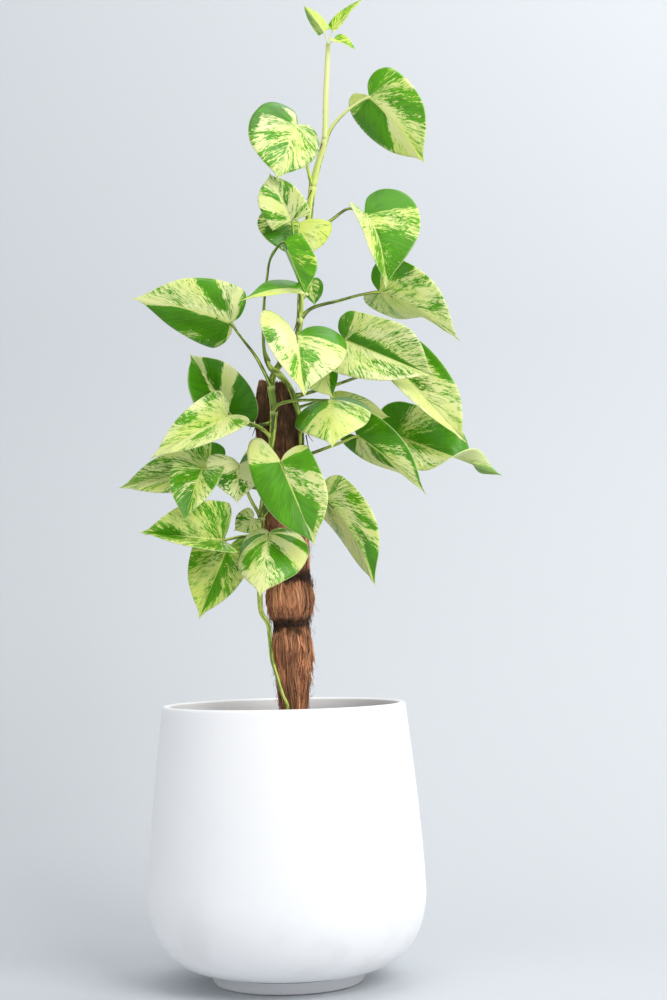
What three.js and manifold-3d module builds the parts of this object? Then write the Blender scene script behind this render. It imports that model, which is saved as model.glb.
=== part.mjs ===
// A marble queen pothos: two vines climb a coir pole that stands in a round planter filled with potting mix.
// Millimetres, +Z up. The origin is the middle of the planter's flat base, and the front faces -Y.
import * as THREE from "three";
import { mergeVertices } from "three/addons/utils/BufferGeometryUtils.js";
import Module from "manifold-3d";

const wasm = await Module();
wasm.setup();

// Driving dimensions
const GAP = 0.3; // between pieces that touch
const PLANTER_HEIGHT = 315;
const PLANTER_WALL = 8;
const PLANTER_FLOOR = 14;
const PLANTER_SEGMENTS = 32;
const BASE_RADIUS = 80;
const BASE_EDGE = [5, 3]; // how far out and up the base's rounded edge goes
const FOOT_RADIUS = 92;
const FOOT_HEIGHT = 17;
const BELLY_RADIUS = 158.5;
const BELLY_HEIGHT = 102;
const RIM_RADIUS = 139.5;
const RIM_ROUNDING = 2.5;
const INNER_CORNER = [8, 4]; // the rounded corner between the planter's wall and floor, inwards and up
const SOIL_TOP = 286;
const SOIL_EDGE_DROP = 6; // the soil falls away to the wall
const POLE_BOTTOM = 190;
const POLE_TOP = 688;
const TIE_HEIGHTS = [405, 460];
const TIE_THICKNESS = 2.4;
const BLADE_THICKNESS = 1.1;
const STALK_RADIUS = 1.9;
const STALK_SIDES = 5;
const STALK_STEP = 17;
const LEAST_STALK_STEPS = 4;
const STALK_FLARE = 1.25; // the stalk's radius where it leaves the vine, as a share of its usual one
const STALK_END = 0.85; // and under the blade
const RIB_END = 0.6; // and where the rib runs out
const FULL_STALK_WIDTH = 60; // a narrower leaf has a thinner stalk
const RIB_DEPTH = 1.1; // how deep the stalk's end lies under the blade's face at the joint
const RIB_SHARE = 0.16; // how far along the blade the rib runs on
const VINE_STEP = 16;
const NODE_SWELLING = 1.0;
const NODE_REACH = 7;
const COIR_SIDES = 20;
const COIR_STEP = 17;
const COIR_BURIED_STEP = 28;

// The coir pole's outline at a height: [height, half width, sideways shift, front-to-back share].
const POLE_OUTLINE = [
  [POLE_BOTTOM, 14, 13, 1.0],
  [300, 15, 12, 1.0],
  [345, 19, 12, 0.95],
  [380, 22.5, 12, 0.95],
  [405, 19.5, 11, 0.9],
  [432, 27, 11.5, 0.9],
  [460, 23, 10, 0.9],
  [485, 26, 8, 0.9],
  [540, 24, 4, 0.95],
  [600, 24.5, 0, 0.95],
  [650, 24, -3, 0.95],
  [675, 22, -4, 0.95],
  [POLE_TOP, 18, -5, 0.9],
];

// Each vine is a list of [x, y, z, radius] from its foot to its tip, and its nodes are rings at a height.
const MAIN_VINE = {
  sides: 8,
  path: [
    [2, -17, 262, 2.4],
    [4, -20, 300, 2.5],
    [5, -20, 312, 2.5],
    [0, -20, 325, 2.5],
    [-7, -17, 349, 2.6],
    [-12, -14, 366, 2.7],
    [-14, -13, 391, 2.9],
    [-16, -13, 407, 3.1],
    [-23, -13, 419, 3.4],
    [-24.5, -14, 437, 3.8],
    [-22, -17, 479, 4.2],
    [-21, -18, 527, 4.5],
    [-12, -25, 582, 4.6],
    [-4, -28, 648, 4.6],
    [-6.5, -26, 675, 4.6],
    [-3, -18, 694, 4.6],
    [12, -14, 715, 4.5],
    [24, -13, 737, 4.4],
    [27.5, -12, 756, 4.4],
    [28.5, -10, 775, 4.5],
    [33, -6, 832, 4.8],
    [41, -3, 880, 5.0],
    [45, 0, 911, 4.9],
    [52, 0, 939, 4.6],
    [60, 0, 966, 4.3],
    [63, 0, 1021, 3.9],
    [67, 0, 1082, 3.3],
  ],
  nodes: [527, 648, 677, 756, 911, 966],
};
const SECOND_VINE = {
  sides: 8,
  path: [
    [-20, -18, 529, 3.4],
    [-9, -26, 543, 3.5],
    [8, -27, 562, 3.6],
    [21, -22, 581, 3.7],
    [26, -15, 600, 3.8],
    [26.5, -12, 627, 3.9],
    [25, -13, 640, 3.9],
    [22, -18, 655, 3.9],
    [15, -24, 676, 3.9],
    [3, -27, 691, 3.9],
    [-7, -27, 699, 3.8],
    [-11, -26, 707, 3.2],
  ],
  nodes: [602, 638, 691],
};

// One entry for each leaf, from the top down. The joint is where the stalk meets the blade, the tip its point.
// The face looks along facing. Lift raises each half in degrees, curl rolls it back, and lobe is how far it reaches
// back past the joint. Broad is each half's share of the breadth, and slim narrows it towards the tip. Droop arches
// the blade along its length, sway bends its midrib sideways, twist turns the blade from the share twistFrom of its
// length on, and wave ripples its margin. The stalk starts on the vine named.
const LEAVES = [
  { vine: "main", joint: [62, -9, 1094], tip: [39, -24, 1121], width: 22, facing: [-0.5, -0.3, 0.6],
    lift: [50, 50], curl: [20, 20], droop: 20, lobe: [0.1, 0.1], stalk: [[67, -2, 1080]] },
  { vine: "main", joint: [72, -3, 1098], tip: [110, -2, 1136], width: 17, facing: [-0.5, -0.8, 0.3],
    lift: [30, 30], curl: [20, 20], droop: 10, lobe: [0.1, 0.1], stalk: [[67.5, 0, 1080], [70, -1, 1090]] },
  { vine: "main", joint: [74, -8, 1085], tip: [99, -18, 1069], width: 18, facing: [0.1, -0.7, 0.6],
    lift: [30, 30], curl: [10, 10], droop: 20, lobe: [0.1, 0.1], stalk: [[66, -1, 1078]] },
  { vine: "main", joint: [114, -15, 1014], tip: [174, -50, 926], width: 96, facing: [0, -1, -0.27],
    lift: [-30, 22], curl: [18, 18], droop: 26, sway: 0.1, lobe: [1.2, 0.6], broad: [0.84, 0.9],
    slim: [0.1, -0.6], stalk: [[60, 0, 965], [72, -3, 986], [91, -8, 1003]] },
  { vine: "main", joint: [29, -36, 976], tip: [6, -60, 908], width: 104, facing: [-0.1, -1, -0.1],
    lift: [20, -16], curl: [24, 40], droop: 50, lobe: [1.9, 1], broad: [1, 0.74], slim: [-0.3, 0],
    stalk: [[45, 0, 911], [40, -5, 934]] },
  { vine: "main", joint: [21, -38, 867], tip: [-3, -46, 920], width: 66, facing: [0, -1, -0.2], lift: [20, 20],
    curl: [14, 16], droop: 42, lobe: [0.1, 0.1], broad: [0.75, 0.8], slim: [0, -1],
    stalk: [[31, -8, 796], [27, -34, 812], [23, -42, 840]] },
  { vine: "main", joint: [29, -12, 869], tip: [29, -28, 820], width: 90, facing: [0, -0.9, 0.45],
    lift: [25, 12], curl: [25, 25], droop: 30, lobe: [1, 0.3], broad: [1.1, 0.85],
    stalk: [[30, -8, 791], [35, -12, 831]] },
  { vine: "second", joint: [12, -60, 838], tip: [36, -72, 775], width: 54, facing: [0.1, -1, -0.15],
    lift: [-80, 24], curl: [20, 20], droop: 20, lobe: [0.2, 0.1], broad: [1, 0.85], slim: [0, -1.5],
    stalk: [[-10, -26, 706], [-14, -22, 721], [-13, -18, 776], [-9, -22, 804], [-4, -36, 824]] },
  { vine: "main", joint: [27, -30, 788], tip: [-39, -66, 770], width: 52, facing: [0, -0.8, 0.6], lift: [0, 28],
    curl: [20, 20], droop: 44, lobe: [1.6, 0.2], slim: [1.1, 0], broad: [1, 0.75],
    stalk: [[28.5, -12, 762], [29, -22, 776]] },
  { vine: "main", joint: [41, 10, 803], tip: [45, 2, 774], width: 27, facing: [0.2, -1, 0.2], lift: [15, 15],
    curl: [15, 15], droop: 15, stalk: [[30, -8, 779], [39, 4, 790]] },
  { vine: "main", joint: [106, -20, 875], tip: [126, -66, 781], width: 112, facing: [0, -1, -0.2],
    lift: [62, 12], curl: [10, 20], droop: 20, lobe: [0.5, 1], broad: [0.5, 1], slim: [-1, -0.4], sway: 0.25,
    stalk: [[38, -4, 854], [65, -4, 872], [88, -14, 884]] },
  { vine: "main", joint: [121, -8, 787], tip: [210, -40, 723], width: 92, facing: [0, -1, -0.17],
    lift: [-50, 24], curl: [20, 18], droop: 30, lobe: [1.1, 0.6], sway: 0.2, slim: [2.6, -0.3],
    broad: [0.85, 0.93], stalk: [[27.5, -12, 757], [41, -10, 769], [74, -8, 778], [103, -8, 785]] },
  { vine: "main", joint: [-52, -26, 752], tip: [-163, -60, 777], width: 90, facing: [0, -1, -0.02],
    lift: [20, -30], curl: [24, 26], droop: 24, sway: -0.1, lobe: [0.3, 0.3], slim: [0, 0.6],
    broad: [0.95, 0.95], stalk: [[-6.5, -26, 677], [-16, -28, 698], [-24, -27, 713], [-43, -26, 739]] },
  { vine: "main", joint: [24, -62, 729], tip: [33, -122, 654], width: 108, facing: [0, -1, 0.1], lift: [50, 16],
    curl: [16, 56], droop: 30, lobe: [1.05, 0.7], broad: [0.95, 1.08], stalk: [[4, -16, 706], [10, -36, 712]] },
  { vine: "main", joint: [80, -22, 729], tip: [180, -50, 682], width: 88, facing: [0, -1, -0.14],
    lift: [48, 26], curl: [16, 18], droop: 28, lobe: [0.3, 0.5], broad: [1.12, 0.86], slim: [0.2, -1.4],
    stalk: [[24, -13, 737], [53, -20, 741]] },
  { vine: "second", joint: [137, -4, 700], tip: [215, -34, 607], width: 90, facing: [0, -1, -0.12],
    lift: [70, 16], curl: [8, 14], droop: 24, broad: [0.85, 0.95], slim: [0, -0.25], lobe: [0.5, 1.1],
    stalk: [[20, -20, 666], [66, -6, 680], [104, 2, 693]] },
  { vine: "main", joint: [48, -24, 709], tip: [64, -36, 661], width: 60, facing: [0, -1, -0.1], lift: [10, 10],
    curl: [20, 20], droop: 20, broad: [1, 0.6], stalk: [[13, -14, 716], [32, -26, 719]] },
  { vine: "main", joint: [60, -48, 658], tip: [62, -110, 598], width: 96, facing: [0, -1, 0.1], lift: [-5, 8],
    curl: [50, 44], droop: 50, slim: [0, -0.3], stalk: [[-4, -28, 648], [1, -37, 655], [21, -42, 659]] },
  { vine: "second", joint: [69, -14, 656], tip: [129, -22, 640], width: 50, facing: [0, -1, -0.1],
    lift: [10, 10], curl: [20, 20], droop: 20, broad: [1, 0.7], stalk: [[22, -17, 653], [47, -14, 660]] },
  { vine: "main", joint: [-57, -12, 652], tip: [-100, -12, 720], width: 88, facing: [0, -1, -0.1],
    lift: [40, 56], curl: [16, 10], droop: 15, lobe: [1.3, 0.7], stalk: [[-5, -27, 636], [-32, -20, 634]] },
  { vine: "main", joint: [-57, -42, 643], tip: [-142, -77, 594], width: 82, facing: [0, -1, -0.1],
    lift: [22, 66], curl: [18, 12], droop: 25, lobe: [0.3, 0.3], broad: [0.8, 1], slim: [0.2, 0],
    stalk: [[-7, -27, 619], [-20, -34, 630], [-40, -40, 638]] },
  { vine: "second", joint: [91, -28, 618], tip: [167, -55, 548], width: 64, facing: [0, -1, -0.1],
    lift: [-40, 22], curl: [20, 18], droop: 25, lobe: [1, 0.4], sway: 0.12, slim: [1.8, 0], broad: [0.85, 1],
    stalk: [[26, -15, 598], [37, -20, 600], [59, -26, 607], [74, -28, 612]] },
  { vine: "second", joint: [133, 16, 623], tip: [257, -10, 571], width: 84, facing: [0, -1, -0.1],
    lift: [56, 16], curl: [24, 20], droop: 25, twist: 165, twistFrom: 0.38,
    stalk: [[26, -13, 636], [40, -4, 642], [83, 8, 643]] },
  { vine: "main", joint: [-44, -36, 588], tip: [-46, -66, 542], width: 76, facing: [0, -1, 0.05],
    lift: [22, 34], curl: [18, 18], droop: 25, lobe: [0.7, 1.8], stalk: [[-21, -18, 528], [-34, -28, 552]] },
  { vine: "main", joint: [4, -74, 587], tip: [41, -112, 491], width: 84, facing: [0, -1, 0], lift: [15, 26],
    curl: [18, 20], droop: 25, lobe: [1.7, 0.25], broad: [0.88, 0.88], slim: [-0.2, -0.9],
    stalk: [[-16, -20, 556], [-12, -45, 567]] },
  { vine: "main", joint: [-78, -12, 587], tip: [-184, -22, 565], width: 66, facing: [0, -1, -0.07],
    lift: [32, 56], curl: [16, 14], droop: 20, stalk: [[-14, -24, 573], [-51, -16, 583]] },
  { vine: "main", joint: [-85, -52, 582], tip: [-104, -98, 522], width: 58, facing: [0, -1, 0], lift: [15, 38],
    curl: [24, 12], droop: 25, broad: [1.15, 1], lobe: [0.1, 0.1],
    stalk: [[-15.6, -22, 560], [-45, -24, 566], [-70, -38, 577]] },
  { vine: "second", joint: [51, -30, 549], tip: [107, -55, 446], width: 86, facing: [0, -1, -0.05],
    lift: [-62, 26], curl: [20, 20], droop: 22, lobe: [0.5, 0.4], sway: 0.25, slim: [0, -0.8], broad: [1, 0.78],
    stalk: [[14, -25, 570], [35, -30, 560]] },
  { vine: "main", joint: [-65, -46, 502], tip: [-155, -76, 512], width: 90, facing: [0, -1, -0.03],
    lift: [22, 78], curl: [20, 8], droop: 25, lobe: [0.2, 0.1], stalk: [[-22, -17, 507], [-44, -36, 506]] },
  { vine: "main", joint: [-61, -18, 493], tip: [-93, -42, 413], width: 76, facing: [0, -1, -0.03],
    lift: [22, 44], curl: [18, 16], droop: 22, broad: [1, 1.1], stalk: [[-22, -17, 487], [-44, -17, 488]] },
  { vine: "main", joint: [-11, -62, 508], tip: [-21, -106, 436], width: 100, facing: [0, -1, 0], lift: [-8, 6],
    curl: [70, 44], droop: 50, lobe: [0.9, 0.9], broad: [0.9, 1], stalk: [[-21, -18, 513], [-17, -42, 512]] },
  { vine: "main", joint: [-30, -26, 527], tip: [-52, -30, 513], width: 31, facing: [0, -1, 0.3], lift: [12, 12],
    curl: [20, 20], droop: 20, stalk: [[-21, -18, 521], [-25, -23, 523]] },
];

// Half of a blade's margin in shares of its length and width, from the tip round the lobe to the joint.
const MARGIN = [
  [0, 1],
  [0.018, 0.945],
  [0.075, 0.875],
  [0.2, 0.765],
  [0.345, 0.59],
  [0.43, 0.37],
  [0.46, 0.12],
  [0.415, -0.1],
  [0.285, -0.23],
  [0.125, -0.22],
  [0.025, -0.08],
  [0, 0],
];
const MARGIN_HALF_WIDTH = 0.46;
const VEIN_ORIGIN_END = 0.46; // the share of the margin past which every vein starts at the joint
const VEIN_BOW = 0.12;
const USUAL_LOBE = 0.7; // how far the lobes reach back, as a share of the margin above
const SLIMMEST = 0.25; // the least share of its breadth that a half keeps
const BLADE_ROWS = 10;
const BLADE_COLUMNS = 2;
const WAVES_PER_SIDE = 3;
const FOLD_REACH = 5; // a half narrower than this lies flatter, so that the two halves stay apart
const NEAREST_JOINT = 7; // points of a full-grown blade nearer than this to its joint are drawn into it
const NEAREST_TIP = 4; // and points nearer than this to its tip

const DEGREE = Math.PI / 180;
const leafGreen = new THREE.MeshStandardMaterial({ color: 0x9cc455, roughness: 0.45, metalness: 0 });
const vineGreen = new THREE.MeshStandardMaterial({ color: 0xa8b85c, roughness: 0.5, metalness: 0 });
const whiteGlaze = new THREE.MeshStandardMaterial({ color: 0xf3f4f5, roughness: 0.6, metalness: 0 });
const darkMix = new THREE.MeshStandardMaterial({ color: 0x3a2a20, roughness: 1, metalness: 0 });
const coirBrown = new THREE.MeshStandardMaterial({ color: 0x7a4b30, roughness: 1, metalness: 0 });
const tieBlack = new THREE.MeshStandardMaterial({ color: 0x2a211d, roughness: 0.9, metalness: 0 });

// A closed geometry as a solid that can be joined and cut.
function solidOf(geometry) {
  const bare = geometry.clone();
  bare.deleteAttribute("normal");
  bare.deleteAttribute("uv");
  const merged = mergeVertices(bare, 1e-4);
  return new wasm.Manifold(
    new wasm.Mesh({
      numProp: 3,
      vertProperties: merged.attributes.position.array,
      triVerts: new Uint32Array(merged.index.array),
    }),
  );
}

// A solid as a geometry again.
function geometryOf(solid) {
  const mesh = solid.getMesh();
  const positions = new Float32Array(mesh.numVert * 3);
  for (let i = 0; i < mesh.numVert; i++) {
    positions.set(mesh.vertProperties.subarray(i * mesh.numProp, i * mesh.numProp + 3), i * 3);
  }
  const geometry = new THREE.BufferGeometry();
  geometry.setAttribute("position", new THREE.BufferAttribute(positions, 3));
  geometry.setIndex(new THREE.BufferAttribute(mesh.triVerts, 1));
  return geometry;
}

// A closed skin through rings of points, with a flat cap on the first and the last ring.
function loft(rings) {
  const sides = rings[0].length;
  const positions = [];
  const index = [];
  for (const ring of rings) {
    for (const point of ring) positions.push(point.x, point.y, point.z);
  }
  for (let i = 0; i + 1 < rings.length; i++) {
    for (let j = 0; j < sides; j++) {
      const a = i * sides + j;
      const b = i * sides + ((j + 1) % sides);
      index.push(a, b, a + sides, b, b + sides, a + sides);
    }
  }
  const last = (rings.length - 1) * sides;
  for (let j = 1; j + 1 < sides; j++) {
    index.push(0, j + 1, j);
    index.push(last, last + j, last + j + 1);
  }
  const geometry = new THREE.BufferGeometry();
  geometry.setAttribute("position", new THREE.Float32BufferAttribute(positions, 3));
  geometry.setIndex(index);
  return geometry;
}

// A tube whose radius follows radiusAt, from 0 to 1 along a curve.
function taperedTube(curve, steps, sides, radiusAt) {
  const frames = curve.computeFrenetFrames(steps, false);
  const rings = [];
  for (let i = 0; i <= steps; i++) {
    const along = i / steps;
    const centre = curve.getPointAt(along);
    const ring = [];
    for (let j = 0; j < sides; j++) {
      const angle = (2 * Math.PI * j) / sides;
      const out = frames.normals[i].clone().multiplyScalar(Math.cos(angle) * radiusAt(along));
      out.addScaledVector(frames.binormals[i], Math.sin(angle) * radiusAt(along));
      ring.push(centre.clone().add(out));
    }
    rings.push(ring);
  }
  return loft(rings);
}

// The value of a column of a table at a height, where the table's first column is the height.
function tableAt(table, height, column) {
  const row = table.findIndex((entry) => entry[0] >= height);
  if (row < 0) return table.at(-1)[column];
  if (row === 0) return table[0][column];
  const [below, above] = [table[row - 1], table[row]];
  const share = (height - below[0]) / (above[0] - below[0]);
  const smooth = THREE.MathUtils.smoothstep(share, 0, 1);
  return THREE.MathUtils.lerp(below[column], above[column], smooth);
}

// The planter's outer wall as points [radius, height] from the base up to the rim.
function planterWall(inset) {
  const foot = [
    [BASE_RADIUS - inset, 0],
    [BASE_RADIUS + BASE_EDGE[0] - inset, BASE_EDGE[1]],
    [FOOT_RADIUS - inset, FOOT_HEIGHT],
  ];
  const belly = [];
  const bellySteps = 7;
  const bellyFullness = 0.96;
  for (let i = 1; i <= bellySteps; i++) {
    const angle = (i / bellySteps) * 0.5 * Math.PI;
    const radius = FOOT_RADIUS + (BELLY_RADIUS - FOOT_RADIUS) * Math.sin(angle) ** bellyFullness;
    const height = BELLY_HEIGHT - (BELLY_HEIGHT - FOOT_HEIGHT) * Math.cos(angle) ** bellyFullness;
    belly.push([radius - inset, height]);
  }
  const upper = [];
  const upperSteps = 5;
  const upperFullness = 1.35;
  for (let i = 1; i <= upperSteps; i++) {
    const share = i / upperSteps;
    const radius = BELLY_RADIUS - (BELLY_RADIUS - RIM_RADIUS) * share ** upperFullness;
    const height = BELLY_HEIGHT + (PLANTER_HEIGHT - RIM_ROUNDING - BELLY_HEIGHT) * share;
    upper.push([radius - inset, height]);
  }
  return [...foot, ...belly, ...upper];
}

function planter() {
  const outer = planterWall(0);
  const inner = planterWall(PLANTER_WALL)
    .filter(([, height]) => height > PLANTER_FLOOR + INNER_CORNER[1])
    .reverse();
  const profile = [
    [0, 0],
    ...outer,
    [RIM_RADIUS - RIM_ROUNDING, PLANTER_HEIGHT],
    [RIM_RADIUS - PLANTER_WALL + RIM_ROUNDING, PLANTER_HEIGHT],
    ...inner,
    [inner.at(-1)[0] - INNER_CORNER[0], PLANTER_FLOOR],
    [0, PLANTER_FLOOR],
  ];
  return turned(profile, PLANTER_SEGMENTS);
}

// A closed profile of [radius, height] points turned about the upright axis.
function turned(profile, segments) {
  const points = profile.map(([radius, height]) => new THREE.Vector2(radius, height));
  const geometry = new THREE.LatheGeometry(points, segments);
  geometry.rotateX(Math.PI / 2);
  return geometry;
}

// The soil's surface rises and falls by a few millimetres.
function soilRise(x, y) {
  const swell = 2.6 * Math.sin(x / 31 + 0.6) * Math.cos(y / 27 - 0.4);
  const lumps = 1.3 * Math.sin(x / 9.5 + y / 14) * Math.sin(y / 8.2 - x / 19);
  return swell + lumps;
}

function pottingSoil() {
  const clearance = PLANTER_WALL + GAP;
  const lowest = PLANTER_FLOOR + INNER_CORNER[1];
  const highest = SOIL_TOP - SOIL_EDGE_DROP;
  const wall = planterWall(clearance).filter(([, height]) => height > lowest && height < highest);
  const topRadius = RIM_RADIUS - clearance + 2;
  const floor = PLANTER_FLOOR + GAP;
  const profile = [[0, floor], [wall[0][0] - INNER_CORNER[0], floor], ...wall];
  profile.push([topRadius, SOIL_TOP]);
  for (const share of [0.86, 0.7, 0.52, 0.34, 0.16]) profile.push([topRadius * share, SOIL_TOP]);
  profile.push([0, SOIL_TOP]);
  const geometry = turned(profile, PLANTER_SEGMENTS);
  const position = geometry.attributes.position;
  for (let i = 0; i < position.count; i++) {
    const [x, y] = [position.getX(i), position.getY(i)];
    if (Math.abs(position.getZ(i) - SOIL_TOP) < 0.01) position.setZ(i, SOIL_TOP + soilRise(x, y));
  }
  return geometry;
}

// The coir pole's skin, grown outwards by grow. It bulges between its ties and has a ragged top.
function coirSkin(grow) {
  const lowestSeen = 300;
  const heights = [];
  for (let height = POLE_BOTTOM; height < lowestSeen; height += COIR_BURIED_STEP) heights.push(height);
  for (let height = lowestSeen; height < POLE_TOP; height += COIR_STEP) heights.push(height);
  heights.push(POLE_TOP);
  const rings = heights.map((height) => {
    const ring = [];
    for (let j = 0; j < COIR_SIDES; j++) {
      const angle = (2 * Math.PI * j) / COIR_SIDES;
      const wideFolds = 0.05 * Math.sin(3 * angle + height / 90);
      const narrowFolds = 0.035 * Math.sin(7 * angle - height / 55);
      const folds = height < lowestSeen ? 0 : wideFolds + narrowFolds;
      const radius = tableAt(POLE_OUTLINE, height, 1) * (1 + folds) + grow;
      const ragged = height === POLE_TOP ? 6 * Math.sin(4 * angle + 1) * Math.cos(angle - 0.5) : 0;
      ring.push(
        new THREE.Vector3(
          tableAt(POLE_OUTLINE, height, 2) + radius * Math.cos(angle),
          radius * Math.sin(angle) * tableAt(POLE_OUTLINE, height, 3),
          height + ragged,
        ),
      );
    }
    return ring;
  });
  return loft(rings);
}

// A cord tied round the coir at a height.
function tie(height) {
  const sides = 6;
  const steps = 28;
  const foldClearance = 1.11;
  const depthClearance = 1.6;
  const tilt = 1.2;
  const centreX = tableAt(POLE_OUTLINE, height, 2);
  const radiusX = tableAt(POLE_OUTLINE, height, 1) * foldClearance + TIE_THICKNESS / 2 + GAP;
  const radiusY = radiusX * tableAt(POLE_OUTLINE, height, 3) + depthClearance;
  const positions = [];
  const index = [];
  for (let i = 0; i < steps; i++) {
    const around = (2 * Math.PI * i) / steps;
    for (let j = 0; j < sides; j++) {
      const section = (2 * Math.PI * j) / sides;
      const out = (TIE_THICKNESS / 2) * Math.cos(section);
      positions.push(centreX + (radiusX + out) * Math.cos(around));
      positions.push((radiusY + out) * Math.sin(around));
      positions.push(height + TIE_THICKNESS * Math.sin(section) + tilt * Math.sin(around * 2));
      const next = ((i + 1) % steps) * sides;
      const here = i * sides;
      const up = (j + 1) % sides;
      index.push(here + j, next + j, here + up, next + j, next + up, here + up);
    }
  }
  const geometry = new THREE.BufferGeometry();
  geometry.setAttribute("position", new THREE.Float32BufferAttribute(positions, 3));
  geometry.setIndex(index);
  return geometry;
}

// A vine with a slight swelling at each of its nodes, grown outwards by grow.
function vineTube(vine, grow) {
  const points = vine.path.map(([x, y, z]) => new THREE.Vector3(x, y, z));
  const curve = new THREE.CatmullRomCurve3(points, false, "centripetal");
  curve.arcLengthDivisions = 400;
  const steps = Math.round(curve.getLength() / VINE_STEP);
  const radiusAt = (along) => {
    const height = curve.getPointAt(along).z;
    let radius = vine.path.at(-1)[3];
    for (let i = 0; i + 1 < vine.path.length; i++) {
      const [low, high] = [vine.path[i], vine.path[i + 1]];
      const inside = height >= low[2] && height <= high[2];
      if (inside) radius = THREE.MathUtils.lerp(low[3], high[3], (height - low[2]) / (high[2] - low[2]));
    }
    for (const node of vine.nodes) radius += NODE_SWELLING * Math.exp(-(((height - node) / NODE_REACH) ** 2));
    return radius + grow;
  };
  return taperedTube(curve, steps, vine.sides, radiusAt);
}

// Where the blade's bent midrib runs, at a share of its length, and how far the blade leans there.
function midrib(leaf, share, length) {
  const droop = (leaf.droop ?? 20) * DEGREE;
  const lean = droop * share;
  const forward = (length * Math.sin(lean)) / droop;
  const down = (-length * (1 - Math.cos(lean))) / droop;
  const sideways = (leaf.sway ?? 0) * length * share * share;
  return { forward, down, sideways, lean };
}

// A point of the blade in its own frame: +Y along the midrib, +Z out of the face and side 1 towards +X.
// The margin share runs from the tip to the joint, and out runs from the midrib to the margin.
function bladePoint(leaf, length, curve, marginShare, out, side) {
  const margin = curve.getPoint(marginShare);
  const origin = Math.max(0, 1 - marginShare / VEIN_ORIGIN_END);
  const bow = -VEIN_BOW * margin.x * Math.cos(Math.PI * marginShare);
  const middle = { x: margin.x / 2, y: (origin + margin.y) / 2 + bow };
  const flatX = 2 * out * (1 - out) * middle.x + out * out * margin.x;
  const heartY = (1 - out) * (1 - out) * origin + 2 * out * (1 - out) * middle.y + out * out * margin.y;
  const half = side > 0 ? 0 : 1;
  const flatY = heartY < 0 ? heartY * (leaf.lobe?.[half] ?? USUAL_LOBE) : heartY;

  const curl = Math.max(1, leaf.curl[half]) * DEGREE;
  const share = flatX / MARGIN_HALF_WIDTH;
  const ahead = Math.max(0, flatY);
  const breadth = (leaf.broad?.[half] ?? 1) * Math.max(SLIMMEST, 1 - (leaf.slim?.[half] ?? 0) * ahead * ahead);
  const halfWidth = (leaf.width / 2) * breadth;
  const marginReach = (halfWidth * margin.x) / MARGIN_HALF_WIDTH;
  const lift = leaf.lift[half] * DEGREE * Math.min(1, marginReach / FOLD_REACH);
  const across = (halfWidth * (Math.sin(lift) - Math.sin(lift - curl * share))) / curl;
  const ripple = (leaf.wave ?? 1.5) * share * share * Math.sin(2 * Math.PI * WAVES_PER_SIDE * marginShare + side);
  const rise = (halfWidth * (Math.cos(lift - curl * share) - Math.cos(lift))) / curl + ripple;

  const rib = midrib(leaf, flatY, length);
  const twistFrom = leaf.twistFrom ?? 0;
  const turn = (leaf.twist ?? 0) * DEGREE * THREE.MathUtils.smoothstep(flatY, twistFrom, 1);
  const x = side * across * Math.cos(turn) - rise * Math.sin(turn);
  const z = side * across * Math.sin(turn) + rise * Math.cos(turn);
  return new THREE.Vector3(
    rib.sideways + x,
    rib.forward + z * Math.sin(rib.lean),
    rib.down + z * Math.cos(rib.lean),
  );
}

// The turn from the blade's own frame to the plant's, and the length that takes its tip to its place.
function bladePlacing(leaf) {
  const joint = new THREE.Vector3(...leaf.joint);
  const reach = new THREE.Vector3(...leaf.tip).sub(joint);
  const unit = midrib(leaf, 1, 1);
  const chord = new THREE.Vector3(unit.sideways, unit.forward, unit.down);
  const length = reach.length() / chord.length();
  const from = frameOf(chord, new THREE.Vector3(0, 0, 1));
  const to = frameOf(reach, new THREE.Vector3(...leaf.facing));
  return { joint, length, turn: to.multiply(from.transpose()) };
}

// A right-handed frame with +Y along a direction and +Z as near to a facing as it can be.
function frameOf(direction, facing) {
  const along = direction.clone().normalize();
  const normal = facing.clone().addScaledVector(along, -facing.dot(along)).normalize();
  const side = along.clone().cross(normal);
  return new THREE.Matrix4().makeBasis(side, along, normal);
}

// The blade's middle surface as merged triangles, split alike for both of its faces.
function bladeSurface(leaf, length) {
  const curve = new THREE.SplineCurve(MARGIN.map(([x, y]) => new THREE.Vector2(x, y)));
  const grown = Math.sqrt(Math.min(1, leaf.width / FULL_STALK_WIDTH));
  const corners = [];
  for (const side of [1, -1]) {
    const [tip, joint] = [0, 1].map((share) => bladePoint(leaf, length, curve, share, 0, side));
    const at = (row, column) => {
      const point = bladePoint(leaf, length, curve, row / BLADE_ROWS, column / BLADE_COLUMNS, side);
      if (point.distanceTo(joint) < NEAREST_JOINT * grown) return joint;
      return point.distanceTo(tip) < NEAREST_TIP * grown ? tip : point;
    };
    for (let row = 0; row < BLADE_ROWS; row++) {
      for (let column = 0; column < BLADE_COLUMNS; column++) {
        const [a, b] = [at(row, column), at(row + 1, column)];
        const [c, d] = [at(row + 1, column + 1), at(row, column + 1)];
        const faces = side > 0 ? [[a, b, c], [a, c, d]] : [[a, c, b], [a, d, c]];
        for (const face of faces) corners.push(...face);
      }
    }
  }
  const geometry = new THREE.BufferGeometry().setFromPoints(corners);
  const merged = mergeVertices(geometry, 1e-3);
  const kept = [];
  for (let i = 0; i < merged.index.count; i += 3) {
    const [a, b, c] = [merged.index.getX(i), merged.index.getX(i + 1), merged.index.getX(i + 2)];
    if (a !== b && b !== c && c !== a) kept.push(a, b, c);
  }
  merged.setIndex(kept);
  merged.computeVertexNormals();
  return merged;
}

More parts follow.
